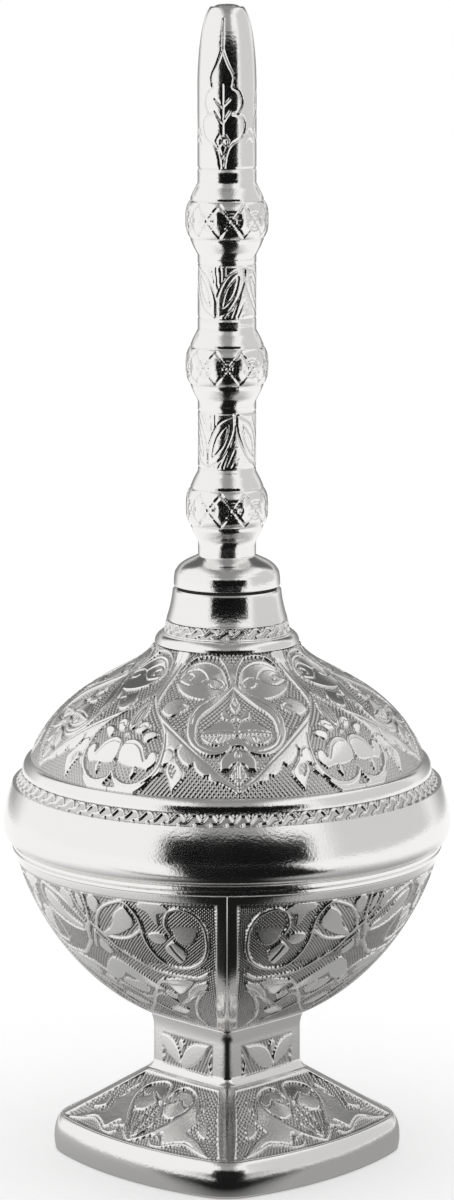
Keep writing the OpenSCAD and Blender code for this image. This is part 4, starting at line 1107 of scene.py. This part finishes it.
def engrave_bulb(c, z, turn):
    """Ten rings on crossed lines, between two grooves."""
    reach = 3.05
    for ring_z in (-3.55, 3.55):
        c.cut([(a, z + ring_z) for a in range(0, 361, 30)], 0.36, 0.22)
    for k in range(10):
        middle = turn + 36 * k
        for lean in (-1, 1):
            c.cut([(middle - 18, z - lean * reach), (middle + 18, z + lean * reach)], 0.4, 0.26)
        for size in (1.65, 1.15):
            around = [(middle + math.degrees(size * math.cos(t) / bulb_r), z + size * math.sin(t))
                      for t in np.linspace(0, 2 * math.pi, 12, endpoint=False)]
            c.cut(around, 0.34, 0.24, closed=True)


def engrave_flame(c, turn):
    """A flame with a sprig in it and a hatched bud at its foot."""
    def at(points):
        return [(turn + a, finial_z + z) for a, z in points]
    for side in (-1, 1):
        c.cut(at([(side * a, z) for a, z in (
            (0, 27.5), (-1, 24), (1, 22.0), (11.5, 19.4), (22.5, 17.2), (20, 15.1),
            (20, 15.1), (34, 14.1), (39.5, 12.2), (31, 10.5), (20.5, 10.2), (20.5, 10.2),
            (40, 9.6), (46, 8.0), (38, 5.9), (18, 4.6), (8.4, 2.8), (4, 0.4))]), 0.42, 0.3)
        for foot, tip in ((11.6, 13.0), (8.6, 10.7)):
            c.cut(at([(0, foot), (side * 7, (foot + tip) / 2 - 0.1), (side * 15, tip)]), 0.5, 0.26)
        c.cut(at([(side * 13, 5.3), (side * 6, 6.3), (0, 6.4)]), 0.34, 0.26)
        c.cut(at([(side * 13, 5.3), (side * 6, 3.4), (0, 2.2)]), 0.34, 0.26)
        for k in (-1, 0, 1):
            c.cut(at([(side * (-7 + 4 * k), 4.2 + 0.5 * k), (side * (3 + 4 * k), 5.6 + 0.2 * k)]),
                  0.24, 0.2)
    c.cut(at([(0, 15.5), (0, 11), (0, 6.4)]), 0.36, 0.26)
    c.cut(at([(52, 6.2), (60, 7.2), (68, 6.2)]), 0.34, 0.24)
    c.cut(at([(52, 4.6), (60, 5.4), (68, 4.6)]), 0.34, 0.24)


spout_columns, spout_each = 184, 8
spout_carving = Carving(np.linspace(-180, 180, spout_columns, endpoint=False), spout_rows(),
                        spout_radius)
engrave_leaves(spout_carving, *leaf_panels[0], -12)
engrave_leaves(spout_carving, *leaf_panels[1], 8)
for z, turn in zip(bulb_zs, (9.0, 1.4, 7.0)):
    engrave_bulb(spout_carving, z, turn)
for turn in (-9, 111, 231):
    engrave_flame(spout_carving, turn)
spout_carving.cut([(a, finial_z) for a in range(0, 361, 30)], 0.5, 0.25)
spout_carving.metal = np.maximum(spout_carving.metal, -0.36)
bore_r, socket_r, seat_r, rose_r = 3.25, 4.0, 2.0, 2.4
bore_line = [(socket_r, collar_z), (socket_r, collar_z + 5), (bore_r, collar_z + 5),
             (bore_r, mouth_z - 6.3), (seat_r, mouth_z - 3.5), (seat_r, mouth_z - 0.9),
             (rose_r, mouth_z - 0.9), (rose_r, mouth_z)]
bore_turn = np.linspace(-180, 180, spout_columns, endpoint=False)[::spout_each]
bore = np.stack([in_space(r, bore_turn, z) for r, z in bore_line])
spout = carved_casting("spout_casting", spout_carving, 2, columns_each=spout_each, inner=bore)
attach(spout, "spout_unit")
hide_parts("spout")

# ---- Rose ----
# A domed silver plated disc with seven holes, pressed into the mouth of the spout.
dress("rose", silver)
